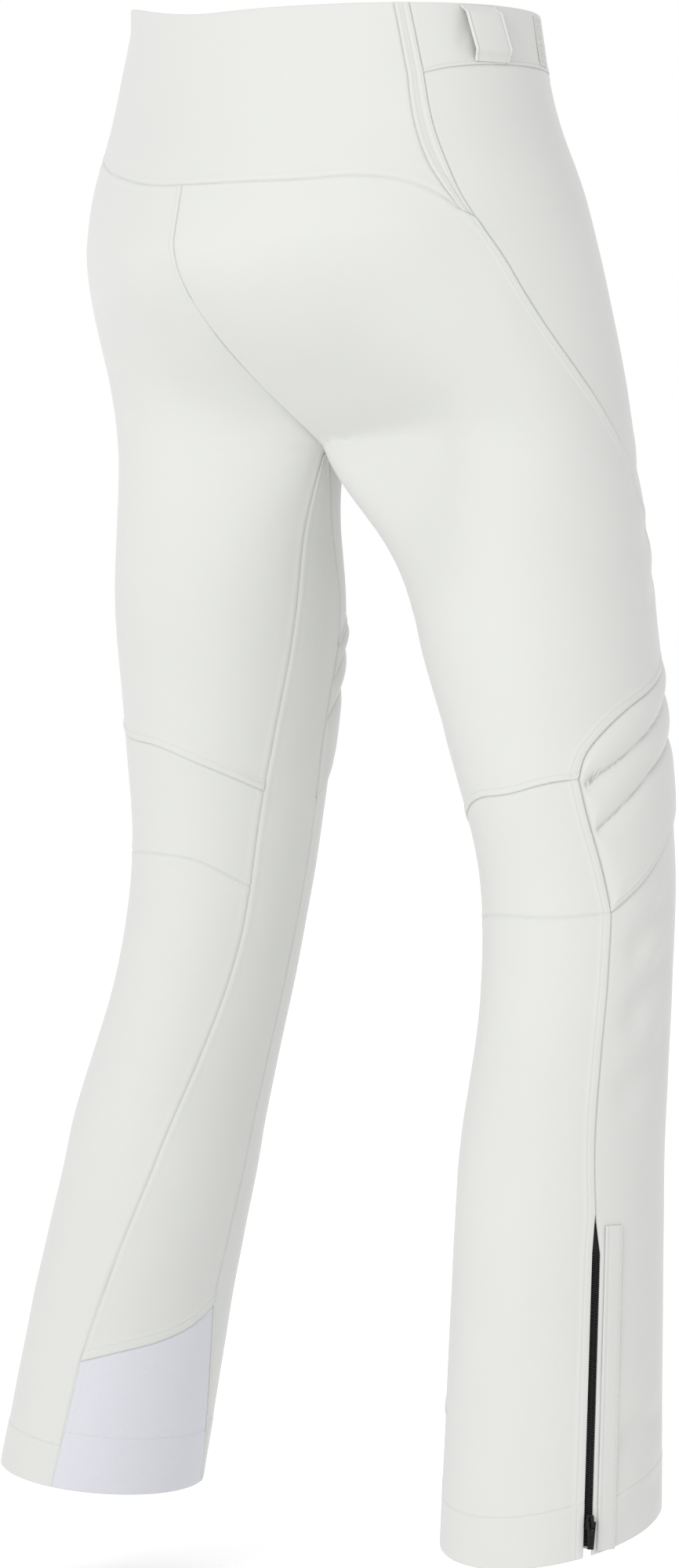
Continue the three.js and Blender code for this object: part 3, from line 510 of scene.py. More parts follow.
# How the cloth lies near an edge, against distance from it, in millimetres. An over edge
# laps its neighbour and is topstitched, an under edge goes beneath, a plain seam is a
# groove between two soft ridges, and a free edge is turned in and rolled.
lap = {"raise": 0.9, "dip": 0.6, "round": 0.9, "stitchDip": 0.45, "stitchHalf": 0.55, "fall": 2.6}
tucked = {"fall": 1.3, "ridge": 0.12, "ridgeAt": 3, "ridgeHalf": 1.6}
plainSeam = {"half": 0.8, "ridge": 0.35, "ridgeAt": 2.8, "ridgeHalf": 1.9}
hemFold = {"rise": 0.3, "fall": 2, "stitchDip": 0.5, "stitchHalf": 0.7, "edge": 1.1}
softSeam = {"dip": 0.22, "half": 1.2}
freeEdge = 0.75


def edgeHeight(kind, d, width):
    rounded = np.sqrt(np.clip(1 - (1 - np.minimum(d / lap["round"], 1)) ** 2, 0, 1))
    if kind in ("over", "light"):
        rise = lap["raise"] * (1 if kind == "over" else 0.5)
        plateau = rise * (1 - ease((d - width) / lap["fall"]))
        groove = lap["stitchDip"] * bell(d, width, lap["stitchHalf"])
        return plateau - groove - (rise + lap["dip"]) * (1 - rounded)
    if kind == "under":
        ridge = tucked["ridge"] * bell(d, tucked["ridgeAt"], tucked["ridgeHalf"])
        return -lap["dip"] * (1 - ease(d / tucked["fall"])) + ridge
    if kind == "plain":
        ridge = plainSeam["ridge"] * bell(d, plainSeam["ridgeAt"], plainSeam["ridgeHalf"])
        return -lap["dip"] * bell(d, 0, plainSeam["half"]) + ridge
    if kind == "hem":
        fold = hemFold["rise"] * (1 - ease((d - pattern["hem"]) / hemFold["fall"]))
        groove = hemFold["stitchDip"] * bell(d, pattern["hem"], hemFold["stitchHalf"])
        return fold - groove - hemFold["edge"] * (1 - rounded)
    if kind == "soft":
        return -softSeam["dip"] * bell(d, 0, softSeam["half"])
    return -freeEdge * (1 - rounded)


def edgeSteps(kind, width):
    near = [0, 0.12, 0.35, 0.7, 1.1, 1.7, 2.5, 3.4]
    if kind in ("over", "light"):
        near = [d for d in near if d < width - 1.2]
        near += [width - 1.1, width - 0.5, width, width + 0.5, width + 1.1, width + 1.9,
                 width + 3, width + 4.5, width + 6.5, width + 9]
    elif kind == "hem":
        near += [5, 8, 12, 17, 22, 27, 32, 35, 36.8, 37.5, 38, 38.5, 39.2, 40.2, 42, 45]
    else:
        near += [4.4, 5.6, 7.2, 9.5]
    return np.array(near)


# Soft folds of the worn cloth: where they run, how wide and deep, in millimetres
foldLines = [
    {"side": 1, "points": [(0.712, 213), (0.75, 238), (0.772, 264)], "width": 13, "depth": 2.2},
    {"side": 1, "points": [(0.832, 175), (0.854, 206), (0.864, 260)], "width": 20, "depth": 2.0},
    {"side": 1, "points": [(0.99, 150), (0.96, 189), (0.9, 214)], "width": 12, "depth": 1.8},
    {"side": -1, "points": [(0.33, 272), (0.396, 298), (0.49, 311)], "width": 8, "depth": 1.6},
    {"side": -1, "points": [(0.33, 306), (0.414, 336), (0.49, 347)], "width": 8, "depth": 1.8},
    {"side": -1, "points": [(0.33, 342), (0.414, 370), (0.484, 378)], "width": 7, "depth": 1.5},
    {"side": -1, "points": [(0.844, 103), (0.786, 86), (0.728, 77), (0.69, 60)], "width": 13,
     "depth": 1.8},
    {"side": -1, "points": [(0.536, 598), (0.5, 579), (0.41, 552)], "width": 10, "depth": 4.2},
    {"side": -1, "points": [(0.532, 643), (0.5, 620), (0.41, 585)], "width": 11, "depth": 4.2},
    {"side": -1, "points": [(0.54, 690), (0.514, 672), (0.4, 640)], "width": 12, "depth": 3.2},
    {"side": -1, "points": [(0.526, 890), (0.484, 882), (0.368, 872)], "width": 9, "depth": 3.0},
    {"side": -1, "points": [(0.51, 940), (0.464, 926), (0.37, 908)], "width": 8, "depth": 1.8},
    {"side": 1, "points": [(0.754, 828), (0.806, 805), (0.856, 796)], "width": 10, "depth": 1.6},
    {"side": -1, "points": [(0.475, 6), (0.455, 18), (0.44, 33)], "width": 4, "depth": 1.4},
    {"side": -1, "points": [(0.585, 30), (0.574, 18), (0.566, 8)], "width": 4, "depth": 1.0},
]


foldShape = {"perU": 430, "fade": 0.25, "backShare": 0.35, "backSpread": 2.6}


def foldDepth(side, u, drop):
    depth = np.zeros(np.shape(u))
    for fold in foldLines:
        if fold["side"] != side:
            continue
        points = np.array(fold["points"], float) * [foldShape["perU"], 1]
        at = np.stack([u * foldShape["perU"], drop], -1)
        lengths = np.linalg.norm(np.diff(points, axis=0), axis=1)
        total, start = lengths.sum(), 0
        best = np.full(np.shape(u), 1e9)
        place = np.zeros(np.shape(u))
        for a, b, length in zip(points[:-1], points[1:], lengths):
            t = np.clip(((at - a) @ (b - a)) / length ** 2, 0, 1)
            away = np.linalg.norm(at - (a + t[..., None] * (b - a)), axis=-1)
            closer = away < best
            best = np.where(closer, away, best)
            place = np.where(closer, (start + t * length) / total, place)
            start += length
        fade = ease(place / foldShape["fade"]) * ease((1 - place) / foldShape["fade"])
        beside = bell(best, 0, foldShape["backSpread"] * fold["width"])
        shape = bell(best, 0, fold["width"]) - foldShape["backShare"] * beside
        depth += fold["depth"] * fade * shape
    return -depth


def meshFrom(name, points, faces, uvs=None, material=None, angle=40):
    # points in millimetres, faces as arrays of one size each, uvs per vertex in metres
    mesh = bpy.data.meshes.new(name)
    points = np.asarray(points, float).reshape(-1, 3) * 0.001
    faces = [np.asarray(f, int) for f in faces if len(f)]
    loops = np.concatenate([f.ravel() for f in faces])
    counts = np.concatenate([np.full(len(f), f.shape[1]) for f in faces])
    mesh.vertices.add(len(points))
    mesh.vertices.foreach_set("co", points.ravel())
    mesh.loops.add(len(loops))
    mesh.loops.foreach_set("vertex_index", loops)
    mesh.polygons.add(len(counts))
    mesh.polygons.foreach_set("loop_start", np.concatenate(([0], np.cumsum(counts)[:-1])))
    if uvs is not None:
        clothUv = mesh.uv_layers.new(name="cloth")
        clothUv.data.foreach_set("uv", np.asarray(uvs, float).reshape(-1, 2)[loops].ravel())
    mesh.update(calc_edges=True)
    mesh.validate()
    mesh.polygons.foreach_set("use_smooth", np.ones(len(mesh.polygons), bool))
    mesh.set_sharp_from_angle(angle=math.radians(angle))
    piece = bpy.data.objects.new(name, mesh)
    bpy.context.collection.objects.link(piece)
    if material:
        mesh.materials.append(material)
    return piece


def gridFaces(side, columns, rowsDown, around=False):
    wide = columns if around else columns + 1
    half = wide * (rowsDown + 1)
    i, j = np.meshgrid(np.arange(columns), np.arange(rowsDown))
    at = lambda i, j, inner: inner * half + j * wide + (i % columns if around else i)
    quads = [np.stack([at(i, j, 0), at(i + 1, j, 0), at(i + 1, j + 1, 0), at(i, j + 1, 0)], -1),
             np.stack([at(i, j, 1), at(i, j + 1, 1), at(i + 1, j + 1, 1), at(i + 1, j, 1)], -1)]
    i = np.arange(columns)
    quads += [np.stack([at(i, 0, 1), at(i + 1, 0, 1), at(i + 1, 0, 0), at(i, 0, 0)], -1),
              np.stack([at(i, rowsDown, 0), at(i + 1, rowsDown, 0), at(i + 1, rowsDown, 1),
                        at(i, rowsDown, 1)], -1)]
    if not around:
        j = np.arange(rowsDown)
        quads += [np.stack([at(0, j, 0), at(0, j + 1, 0), at(0, j + 1, 1), at(0, j, 1)], -1),
                  np.stack([at(columns, j, 1), at(columns, j + 1, 1), at(columns, j + 1, 0),
                            at(columns, j, 0)], -1)]
    faces = np.concatenate([q.reshape(-1, 4) for q in quads])
    return faces[:, ::-1] if side > 0 else faces


stitchLines = {-1: [], 1: []}
flatSizes = {}


clothWave = {"height": 0.10, "across": 9, "down": 11}


def spread(room, cell, breaks):
    # Even shares of the room between the fine steps at a row's two edges, with the share
    # nearest to each break moved onto it
    count = max(2, int(round(max(room, cell) / cell)))
    shares = list(np.linspace(0, 1, count + 1)[1:-1])
    for share in breaks:
        if 0.02 < share < 0.98:
            nearest = int(np.argmin([abs(s - share) for s in shares]))
            shares[nearest] = share
    return sorted(shares)


def panel(name, side, edges, kinds, material=None, thickness=None, lift=0, cell=5.0, widths=None,
          relief=None, steps=None):
    # edges holds the left, right, top and low curves, and kinds holds a list of
    # (kind, end t) for each of them
    widths = {"left": 5, "right": 5, "top": 4, "low": 4, **(widths or {})}
    thickness = pattern["shell"] if thickness is None else thickness

    def place(s, t):
        flat = coons(edges, s, t)
        return flat[..., 0], settle(side, flat[..., 0], flat[..., 1])

    def lengthOf(s, t):
        p = bodyPoint(side, *place(s, t))
        return np.linalg.norm(np.diff(p, axis=-2), axis=-1).sum(-1)

    line = np.linspace(0, 1, 25)
    fine = np.linspace(0, 1, 41)
    rowWidth = lengthOf(*np.broadcast_arrays(line[None, :], fine[:, None]))
    columnHeight = lengthOf(*np.broadcast_arrays(fine[:, None], line[None, :]))

    def slant(edge, t):
        # Sine of the angle between the edge and the grid line that leaves it
        step = 0.01
        along = np.stack([np.clip(t - step, 0, 1), np.clip(t + step, 0, 1)])
        s0 = {"left": 0.0, "right": 1.0, "top": 0.0, "low": 1.0}[edge]
        s1 = abs(s0 - 0.02)
        if edge in ("left", "right"):
            e = bodyPoint(side, *place(np.full(along.shape, s0), along))
            g = bodyPoint(side, *place(np.full(t.shape, s1), t)) - bodyPoint(
                side, *place(np.full(t.shape, s0), t))
        else:
            e = bodyPoint(side, *place(along, np.full(along.shape, s0)))
            g = bodyPoint(side, *place(t, np.full(t.shape, s1))) - bodyPoint(
                side, *place(t, np.full(t.shape, s0)))
        e = e[1] - e[0]
        sine = np.linalg.norm(np.cross(e, g), axis=-1) / np.maximum(
            np.linalg.norm(e, axis=-1) * np.linalg.norm(g, axis=-1), 1e-9)
        sine = np.convolve(np.pad(sine, 2, mode="edge"), np.ones(5) / 5, mode="valid")
        return np.clip(sine, 0.4, 1)

    def axis(nearEdge, farEdge, sizes, across):
        stepSet = {edge: edgeSteps(kinds[edge][0][0], widths[edge])
                   if not (steps and edge in steps) else np.array(steps[edge])
                   for edge in (nearEdge, farEdge)}
        nearShare = stepSet[nearEdge][:, None] / (slant(nearEdge, across) * sizes)[None, :]
        farShare = stepSet[farEdge][:, None] / (slant(farEdge, across) * sizes)[None, :]
        squeeze = np.minimum(1, 0.86 / (nearShare[-1] + farShare[-1]))
        nearShare, farShare = nearShare * squeeze, farShare * squeeze
        room = float(np.mean(sizes)) - stepSet[nearEdge][-1] - stepSet[farEdge][-1]
        breaks = []
        crossEdges = ("top", "low") if nearEdge in ("left", "right") else ("left", "right")
        for n, edge in enumerate(crossEdges):
            a, b = nearShare[-1][-1 if n else 0], farShare[-1][-1 if n else 0]
            breaks += [(x - a) / (1 - a - b) for x in edges[edge].breaks]
        shares = spread(room, cell, breaks)
        a, b = nearShare[-1], farShare[-1]
        middle = a[None, :] + (1 - a - b)[None, :] * np.array(shares)[:, None]
        full = np.concatenate([nearShare, middle, 1 - farShare[::-1]])
        near = np.concatenate([stepSet[nearEdge], np.full(len(shares) + len(farShare), 1e3)])
        far = np.concatenate([np.full(len(nearShare) + len(shares), 1e3), stepSet[farEdge][::-1]])
        return full, near, far

    sFull, dLeft, dRight = axis("left", "right", rowWidth, fine)
    tFull, dTop, dLow = axis("top", "low", columnHeight, fine)
    # sFull is (columns, 41 sample rows) and tFull (rows, 41 sample columns)
    tNominal = tFull.mean(axis=1)
    tNominal[0], tNominal[-1] = 0, 1
    sNominal = sFull.mean(axis=1)
    sNominal[0], sNominal[-1] = 0, 1
    s = np.array([np.interp(tNominal, fine, sFull[i]) for i in range(len(sNominal))]).T
    t = np.array([np.interp(sNominal, fine, tFull[j]) for j in range(len(tNominal))])
    s[:, 0], s[:, -1], t[0, :], t[-1, :] = 0, 1, 0, 1
    u, drop = place(s, t)
    down, across = len(tNominal) - 1, len(sNominal) - 1

    widthAt = np.interp(t, fine, rowWidth)
    heightAt = np.interp(s, fine, columnHeight)
    distances = {"left": np.where(dLeft < 999, dLeft, 1e3)[None, :].repeat(down + 1, 0),
                 "right": np.where(dRight < 999, dRight, 1e3)[None, :].repeat(down + 1, 0),
                 "top": dTop[:, None].repeat(across + 1, 1),
                 "low": dLow[:, None].repeat(across + 1, 1)}
    high, deep = np.zeros(u.shape), np.zeros(u.shape)
    for edge, segments in kinds.items():
        run = t if edge in ("left", "right") else s
        start = -1
        for kind, end in segments:
            inside = (run > start) & (run <= end + 1e-9)
            h = edgeHeight(kind, distances[edge], widths[edge]) * inside
            high, deep = np.maximum(high, h), np.minimum(deep, h)
            start = end
    height = high + deep
    if relief:
        height = height + relief(u, drop, s * widthAt, (1 - s) * widthAt, t * heightAt,
                                 (1 - t) * heightAt)
    waves = (clothWave["height"] * np.sin(s * widthAt / clothWave["across"] + 3 * side)
             * np.sin(t * heightAt / clothWave["down"] + 1.3))
    fold = foldDepth(side, u, drop)
    normal = bodyNormal(side, u, drop)
    base = bodyPoint(side, u, drop)
    outer = base + normal * (lift + height + fold + waves)[..., None]
    inner = base + normal * (lift - thickness + fold)[..., None]
    uv = np.stack([s * widthAt, t * heightAt], -1) / 1000
    piece = meshFrom(name, np.concatenate([outer.reshape(-1, 3), inner.reshape(-1, 3)]),
                     [gridFaces(side, across, down)],
                     np.concatenate([uv.reshape(-1, 2)] * 2), material or softshell)
    diagonals = np.cross(outer[1:, 1:] - outer[:-1, :-1], outer[1:, :-1] - outer[:-1, 1:])
    cells = np.linalg.norm(diagonals, axis=-1) / 2
    flatSizes[name] = (rowWidth.max() / 1000, columnHeight.max() / 1000, cells.sum() / 1e6)

    for edge, segments in kinds.items():
        start = 0
        for kind, end in segments:
            if kind in ("over", "light", "hem"):
                width = pattern["hem"] if kind == "hem" else widths[edge]
                line = {"left": dLeft, "right": dRight, "top": dTop, "low": dLow}[edge]
                k = int(np.argmin(abs(line - width)))
                take = (slice(None), k) if edge in ("left", "right") else (k, slice(None))
                run = (t if edge in ("left", "right") else s)[take]
                keep = (run >= start - 1e-9) & (run <= end + 1e-9)
                stitchLines[side].append((outer[take][keep], normal[take][keep]))
            start = end
    return piece


def wear(piece, body, slotName, *nodes):
    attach(piece, body)
    if nodes:
        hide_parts(*nodes)


def declareSheet(piece):
    width, length, area = (round(value, 5) for value in flatSizes[piece.name])
    area = min(area, width * length)


# Knee pad: two stitched channels slant across it and the foam between them stands proud.
kneePad = {"puff": 3.0, "spread": 5.5, "channelDip": 1.3, "channelHalf": 0.7, "perU": 434,
           "thickness": 4.6, "roundness": 1.3}
ribLines = [
    [(0.583, 482), (0.527, 468), (0.455, 449), (0.372, 428), (0.3, 419), (0.2, 420), (0.13, 431),
     (0.082, 448)],
    [(0.575, 511), (0.52, 493), (0.465, 476), (0.385, 458), (0.3, 447), (0.2, 447), (0.13, 457),
     (0.076, 475)],
]


def lineDistance(u, drop, points, perU):
    points = seam(*points)(np.linspace(0, 1, 60)) * [perU, 1]
    at = np.stack([u * perU, drop], -1)
    best = np.full(np.shape(u), 1e9)
    for a, b in zip(points[:-1], points[1:]):
        t = np.clip(((at - a) @ (b - a)) / ((b - a) @ (b - a)), 0, 1)
        best = np.minimum(best, np.linalg.norm(at - (a + t[..., None] * (b - a)), axis=-1))
    return best


def kneeRelief(side):
    def at(u, drop, fromLeft, fromRight, fromTop, fromLow):
        flatDrop = drop + kneeLift[side]
        channel = np.minimum(*[lineDistance(u, flatDrop, line, kneePad["perU"]) for line in ribLines])
        edge = np.minimum(np.minimum(fromLeft, fromRight), np.minimum(fromTop, fromLow))
        nearest = np.minimum(channel, edge)
        puff = kneePad["puff"] * (1 - np.exp(-(nearest / kneePad["spread"]) ** kneePad["roundness"]))
        return puff - kneePad["channelDip"] * bell(channel, 0, kneePad["channelHalf"])
    return at


def buildShell(side):
    name, node = sideName[side], nodeSide[side]
    waistbandLow = seam((0, 38), (0.25, 37), (0.49, 37), (0.6, 40), tuple(bandFrontLow(0.0)))
    zipHalf = pattern["zipGap"] / 2 / aroundLength(side, pattern["zipU"], pattern["zipLevel"])
    zipU = pattern["zipU"]
    zipTop = float(hemDrop(side, zipU)) - pattern["zipLength"]

    def outerEdge(u, zipRows):
        mouth = (u, zipTop + pattern["zipMouth"])
        return chain((outerSeam, rows["outer"]), (straightSeam(outerSeam(1.0), mouth), 1),
                     (straightSeam(mouth, (u, float(hemDrop(side, u)))), zipRows - 1))

    def finish(piece, above, *nodes, slot="softshell"):
        # above is what the panel is sewn to along its upper edge; it is not used
        wear(piece, "garment", slot, *nodes)
        declareSheet(piece)

    band = panel(f"sideBand{name}", side, {
        "left": bandFront, "right": bandBack, "top": straightSeam(bandFront(0.0), bandBack(0.0)),
        "low": bandEnd}, {"left": [("over", 1)], "right": [("over", 1)], "top": [("free", 1)],
                          "low": [("under", 1)]}, cell=1.2, widths={"left": 1.4, "right": 3.2},
        steps={"left": [0, 0.15, 0.4, 0.8, 1.4, 1.9, 2.6],
               "right": [0, 0.15, 0.4, 0.8, 1.4, 2, 2.7, 3.2, 3.7, 4.4]})
    finish(band, f"waistband{name}", f"{node}_side_band")

    waistband = panel(f"waistband{name}", side, {
        "left": straightSeam((0, 0), (0, 38)), "right": bandFrontTop,
        "top": straightSeam((0, 0), bandFront(0.0)), "low": waistbandLow},
        {"left": [("plain", 1)], "right": [("under", 1)], "top": [("free", 1)],
         "low": [("light", 1)]}, widths={"low": 2.4}, cell=3.5)
    finish(waistband, "waistLining", f"{node}_waistband")

    seatEnd = rows["seat"] / (rows["seat"] + rows["backThigh"])
    rear = panel(f"rearPanel{name}", side, {
        "left": chain((princess, rows["princess"]), (padTopOuter, rows["padTopOuter"])),
        "right": chain((straightSeam((1, float(yokeLow(1.0)[1])), (1, crotchDrop)), rows["seat"]),
                       (backInnerThigh, rows["backThigh"])),
        "top": chain((bandEnd, 1), (yokeLow, rows["yoke"])), "low": kneeBackTop},
        {"left": [("over", 1)],
         "right": [("light" if side > 0 else "under", 0.45 * seatEnd), ("soft", seatEnd),
                   ("plain", 1)],
         "top": [("over", 0.1), ("plain", 1)], "low": [("over", 1)]},
        widths={"left": 4.8, "right": 3.4, "low": 4}, cell=4.5)
    finish(rear, "backYoke", f"{node}_rear_panel")

    front = panel(f"frontPanel{name}", side, {
        "left": chain((straightSeam((0, 38), (0, crotchDrop)), rows["fly"]),
                      (frontInnerThigh, rows["frontThigh"])),
        "right": chain((bandFrontLow, lowBandRows), (princess, rows["princess"])),
        "top": waistbandLow, "low": padTopFront},
        {"left": [("light" if side > 0 else "under", 0.6), ("plain", 1)], "right": [("under", 1)],
         "top": [("plain", 1)], "low": [("over", 1)]}, widths={"left": 5, "low": 4}, cell=4.5)
    finish(front, f"waistband{name}", f"{node}_front_panel")

    innerBack = chain((partSeam(backInnerThigh, 0.03, 1), rows["backThigh"]),
                      (backInnerKnee, rows["knee"]), (backInnerCalf, rows["calf"]))
    innerFront = chain(
        (partSeam(frontInnerThigh, 0.03, 1), rows["frontThigh"]),
        (frontInnerKnee, rows["knee"]), (frontInnerShin, rows["shin"]))
    inner = panel(f"innerPanel{name}", side, {
        "left": shiftSeam(innerBack, -1), "right": innerFront,
        "top": straightSeam(innerBack(0.0) - [1, 0], innerFront(0.0)),
        "low": shiftSeam(guardTop, -1)},
        {"left": [("plain", 1)], "right": [("plain", 1)], "top": [("plain", 1)],
         "low": [("over", 1)]}, widths={"low": 5})
    finish(inner, f"rearPanel{name}", f"{node}_inner_panel")

    pad = {"left": frontInnerKnee, "right": padOuter,
           "top": chain((padTopFront, rows["padTopFront"]), (padTopOuter, rows["padTopOuter"])),
           "low": padLow}
    knee = panel(f"kneePanel{name}", side, pad, {
        "left": [("plain", 1)], "right": [("under", 1)], "top": [("under", 1)],
        "low": [("over", 1)]}, widths={"low": 3}, cell=1.5, relief=kneeRelief(side),
        thickness=kneePad["thickness"])
    wear(knee, "garment", "softshell", f"{node}_knee_panel", f"{node}_knee_foam")

    kneeBack = panel(f"kneeBackPanel{name}", side, {
        "left": padOuter, "right": backInnerKnee, "top": kneeBackTop, "low": kneeBackLow},
        {"left": [("over", 1)], "right": [("plain", 1)], "top": [("under", 1)],
         "low": [("plain", 1)]}, widths={"left": 4.6})
    finish(kneeBack, f"rearPanel{name}", f"{node}_knee_back_panel")

    guardBack = straightSeam(backInnerCalf(1.0), (guardBackU, float(hemDrop(side, guardBackU))))
    guardFront = straightSeam(frontInnerShin(1.0), (guardFrontU, float(hemDrop(side, guardFrontU))))
    calf = panel(f"calfPanel{name}", side, {
        "left": outerEdge(zipU + zipHalf, rows["calf"] + rows["guard"] - rows["outer"]),
        "right": chain((backInnerCalf, rows["calf"]), (guardBack, rows["guard"])),
        "top": kneeBackLow, "low": hemSeam(side, zipU + zipHalf, guardBackU)},
        {"left": [("over", 1)], "right": [("plain", 1)], "top": [("plain", 1)],
         "low": [("hem", 1)]}, widths={"left": 4.6})
    finish(calf, f"kneeBackPanel{name}", f"{node}_calf_panel")

    shin = panel(f"shinPanel{name}", side, {
        "left": chain((frontInnerShin, rows["shin"]), (guardFront, rows["guard"])),
        "right": outerEdge(zipU - zipHalf, rows["shin"] + rows["guard"] - rows["outer"]),
        "top": padLow, "low": hemSeam(side, guardFrontU, zipU - zipHalf)},
        {"left": [("plain", 10 / 13), ("light", 1)], "right": [("under", 1)],
         "top": [("under", 1)], "low": [("hem", 1)]}, widths={"left": 3})
    finish(shin, f"kneePanel{name}", f"{node}_shin_panel")

    guard = panel(f"scuffGuard{name}", side, {
        "left": guardBack, "right": shiftSeam(guardFront, 1), "top": guardTop,
        "low": hemSeam(side, guardBackU, 1 + guardFrontU)},
        {"left": [("plain", 1)], "right": [("under", 1)], "top": [("under", 1)],
         "low": [("hem", 1)]}, material=guardCloth)
    finish(guard, f"calfPanel{name}", f"{node}_scuff_guard", slot="guard_cloth")


for side in (-1, 1):
    buildShell(side)
yoke = panel("backYoke", -1, {
    "left": bandBack, "right": mirrorSeam(bandBack),
    "top": straightSeam(bandBack(0.0), mirrorSeam(bandBack)(0.0)),
    "low": chain((yokeLow, rows["yoke"]), (turnSeam(mirrorSeam(yokeLow)), rows["yoke"]))},
    {"left": [("under", 1)], "right": [("under", 1)], "top": [("free", 1)],
     "low": [("plain", 1)]})
wear(yoke, "garment", "softshell", "back_yoke")
declareSheet(yoke)
print("shell panels sewn")


# Cloth pieces and trims laid on the body
def rectangle(uFrom, uTo, dropFrom, dropTo):
    return {"left": straightSeam((uFrom, dropFrom), (uFrom, dropTo)),
            "right": straightSeam((uTo, dropFrom), (uTo, dropTo)),
            "top": straightSeam((uFrom, dropFrom), (uTo, dropFrom)),
            "low": straightSeam((uFrom, dropTo), (uTo, dropTo))}


def strip(side, u, dropFrom, dropTo, width):
    half = width / 2 / float(aroundLength(side, u, (dropFrom + dropTo) / 2))
    return rectangle(u - half, u + half, dropFrom, dropTo)


def layer(name, side, edges, look, lift, material, around=False, relief=None, edgeLines=()):
    # A strip or sheet at a height over the body, with rounded edges. lift is a number or a
    # function of s and t; relief adds height from the distances to the four edges.
    thickness = look["thickness"]
    line = np.linspace(0, 1, 40)

    def place(s, t):
        flat = coons(edges, s, t)
        return flat[..., 0], settle(side, flat[..., 0], flat[..., 1])

    def span(s, t):
        p = bodyPoint(side, *place(s, t))
        return float(np.linalg.norm(np.diff(p, axis=0), axis=-1).sum())

    width, height = span(line, np.full(40, 0.5)), span(np.full(40, 0.5), line)

    def steps(size, count, closed):
        if closed:
            return np.linspace(0, 1, count + 1)[:-1]
        soft = np.array([0, 0.12, 0.36, 0.75]) * min(1, thickness) / size
        extra = [d / size for d in edgeLines if d < size / 2]
        inner = np.linspace(soft[-1] * 1.5, 1 - soft[-1] * 1.5, count)
        return np.unique(np.concatenate([soft, extra, inner, 1 - np.array(extra), 1 - soft]))

    sLine, tLine = steps(width, look["across"], around), steps(height, look["down"], False)
    s, t = np.meshgrid(sLine, tLine)
    u, drop = place(s, t)
    to = {"left": s * width, "right": (1 - s) * width, "top": t * height, "low": (1 - t) * height}
    nearest = np.minimum(to["top"], to["low"])
    if not around:
        nearest = np.minimum(nearest, np.minimum(to["left"], to["right"]))
    rounding = 0.42 * thickness * (1 - np.clip(nearest / (0.75 * min(1, thickness)), 0, 1)) ** 2
    high = lift(s, t) if callable(lift) else np.full(s.shape, float(lift))
    top = high - rounding + (relief(u, drop, to) if relief else 0)
    normal, base = bodyNormal(side, u, drop), bodyPoint(side, u, drop)
    outer = base + normal * top[..., None]
    inner = base + normal * (high - thickness + rounding)[..., None]
    uv = np.stack([s * width, t * height], -1) / 1000
    piece = meshFrom(name, np.concatenate([outer.reshape(-1, 3), inner.reshape(-1, 3)]),
                     [gridFaces(side, len(sLine) - (0 if around else 1), len(tLine) - 1, around)],
                     np.concatenate([uv.reshape(-1, 2)] * 2), material)
    middle = base + normal * (high - thickness / 2)[..., None]
    along = np.linalg.norm(np.diff(middle, axis=1), axis=-1).sum(1)
    if around:
        along = along + np.linalg.norm(middle[:, 0] - middle[:, -1], axis=-1)
    down = np.linalg.norm(np.diff(middle, axis=0), axis=-1).sum(0)
    cut = [along.max() * look.get("fullness", 1), down.max()]
    flatSizes[name] = (cut[0] / 1000, cut[1] / 1000,
                       along.mean() * look.get("fullness", 1) * down.mean() / 1e6)
    return piece


def localFrame(side, u, drop):
    # The point, the cloth's normal, the direction down the garment and the one across it
    settled = settle(side, u, drop)
    point, normal = bodyPoint(side, u, settled), bodyNormal(side, u, settled)
    ahead, behind = settle(side, u, drop + 0.5), settle(side, u, drop - 0.5)
    down = bodyPoint(side, u, ahead) - bodyPoint(side, u, behind)
    down /= np.linalg.norm(down, axis=-1, keepdims=True)
    across = np.cross(down, normal)
    return point, normal, down, across


def rods(name, centres, axes, ups, length, width, height, material, sides=6, stations=None):
    # Short closed rods, one at each centre, along its axis; stations are (along, share)
    # pairs from one tip to the other.
    stations = stations or [(-1, 0.35), (-0.82, 0.85), (0, 1), (0.82, 0.85), (1, 0.35)]
    turn = (np.arange(sides) + 0.5) * 2 * np.pi / sides
    third = np.cross(ups, axes)
    points = []
    for along, share in stations:
        for angle in turn:
            points.append(centres + axes * (along * length / 2)
                          + third * (np.cos(angle) * share * width / 2)
                          + ups * (np.sin(angle) * share * height / 2))
    points = np.stack(points, 1)
    per = points.shape[1]
    quads = []
    for k in range(len(stations) - 1):
        for i in range(sides):
            j = (i + 1) % sides
            quads.append([k * sides + i, (k + 1) * sides + i, (k + 1) * sides + j, k * sides + j])
    caps = [list(range(sides)), [(len(stations) - 1) * sides + i for i in reversed(range(sides))]]
    offset = np.arange(len(centres))[:, None, None] * per
    quads = (np.array(quads)[None] + offset).reshape(-1, 4)[:, ::-1]
    caps = (np.array(caps)[None] + offset).reshape(-1, sides)[:, ::-1]
    return meshFrom(name, points.reshape(-1, 3), [quads, caps], None, material, 55)


# Seam threads: single stitches half sunk in their dips
stitch = {"pitch": 3.1, "length": 2.45, "width": 0.5, "height": 0.42, "lift": 0.04}


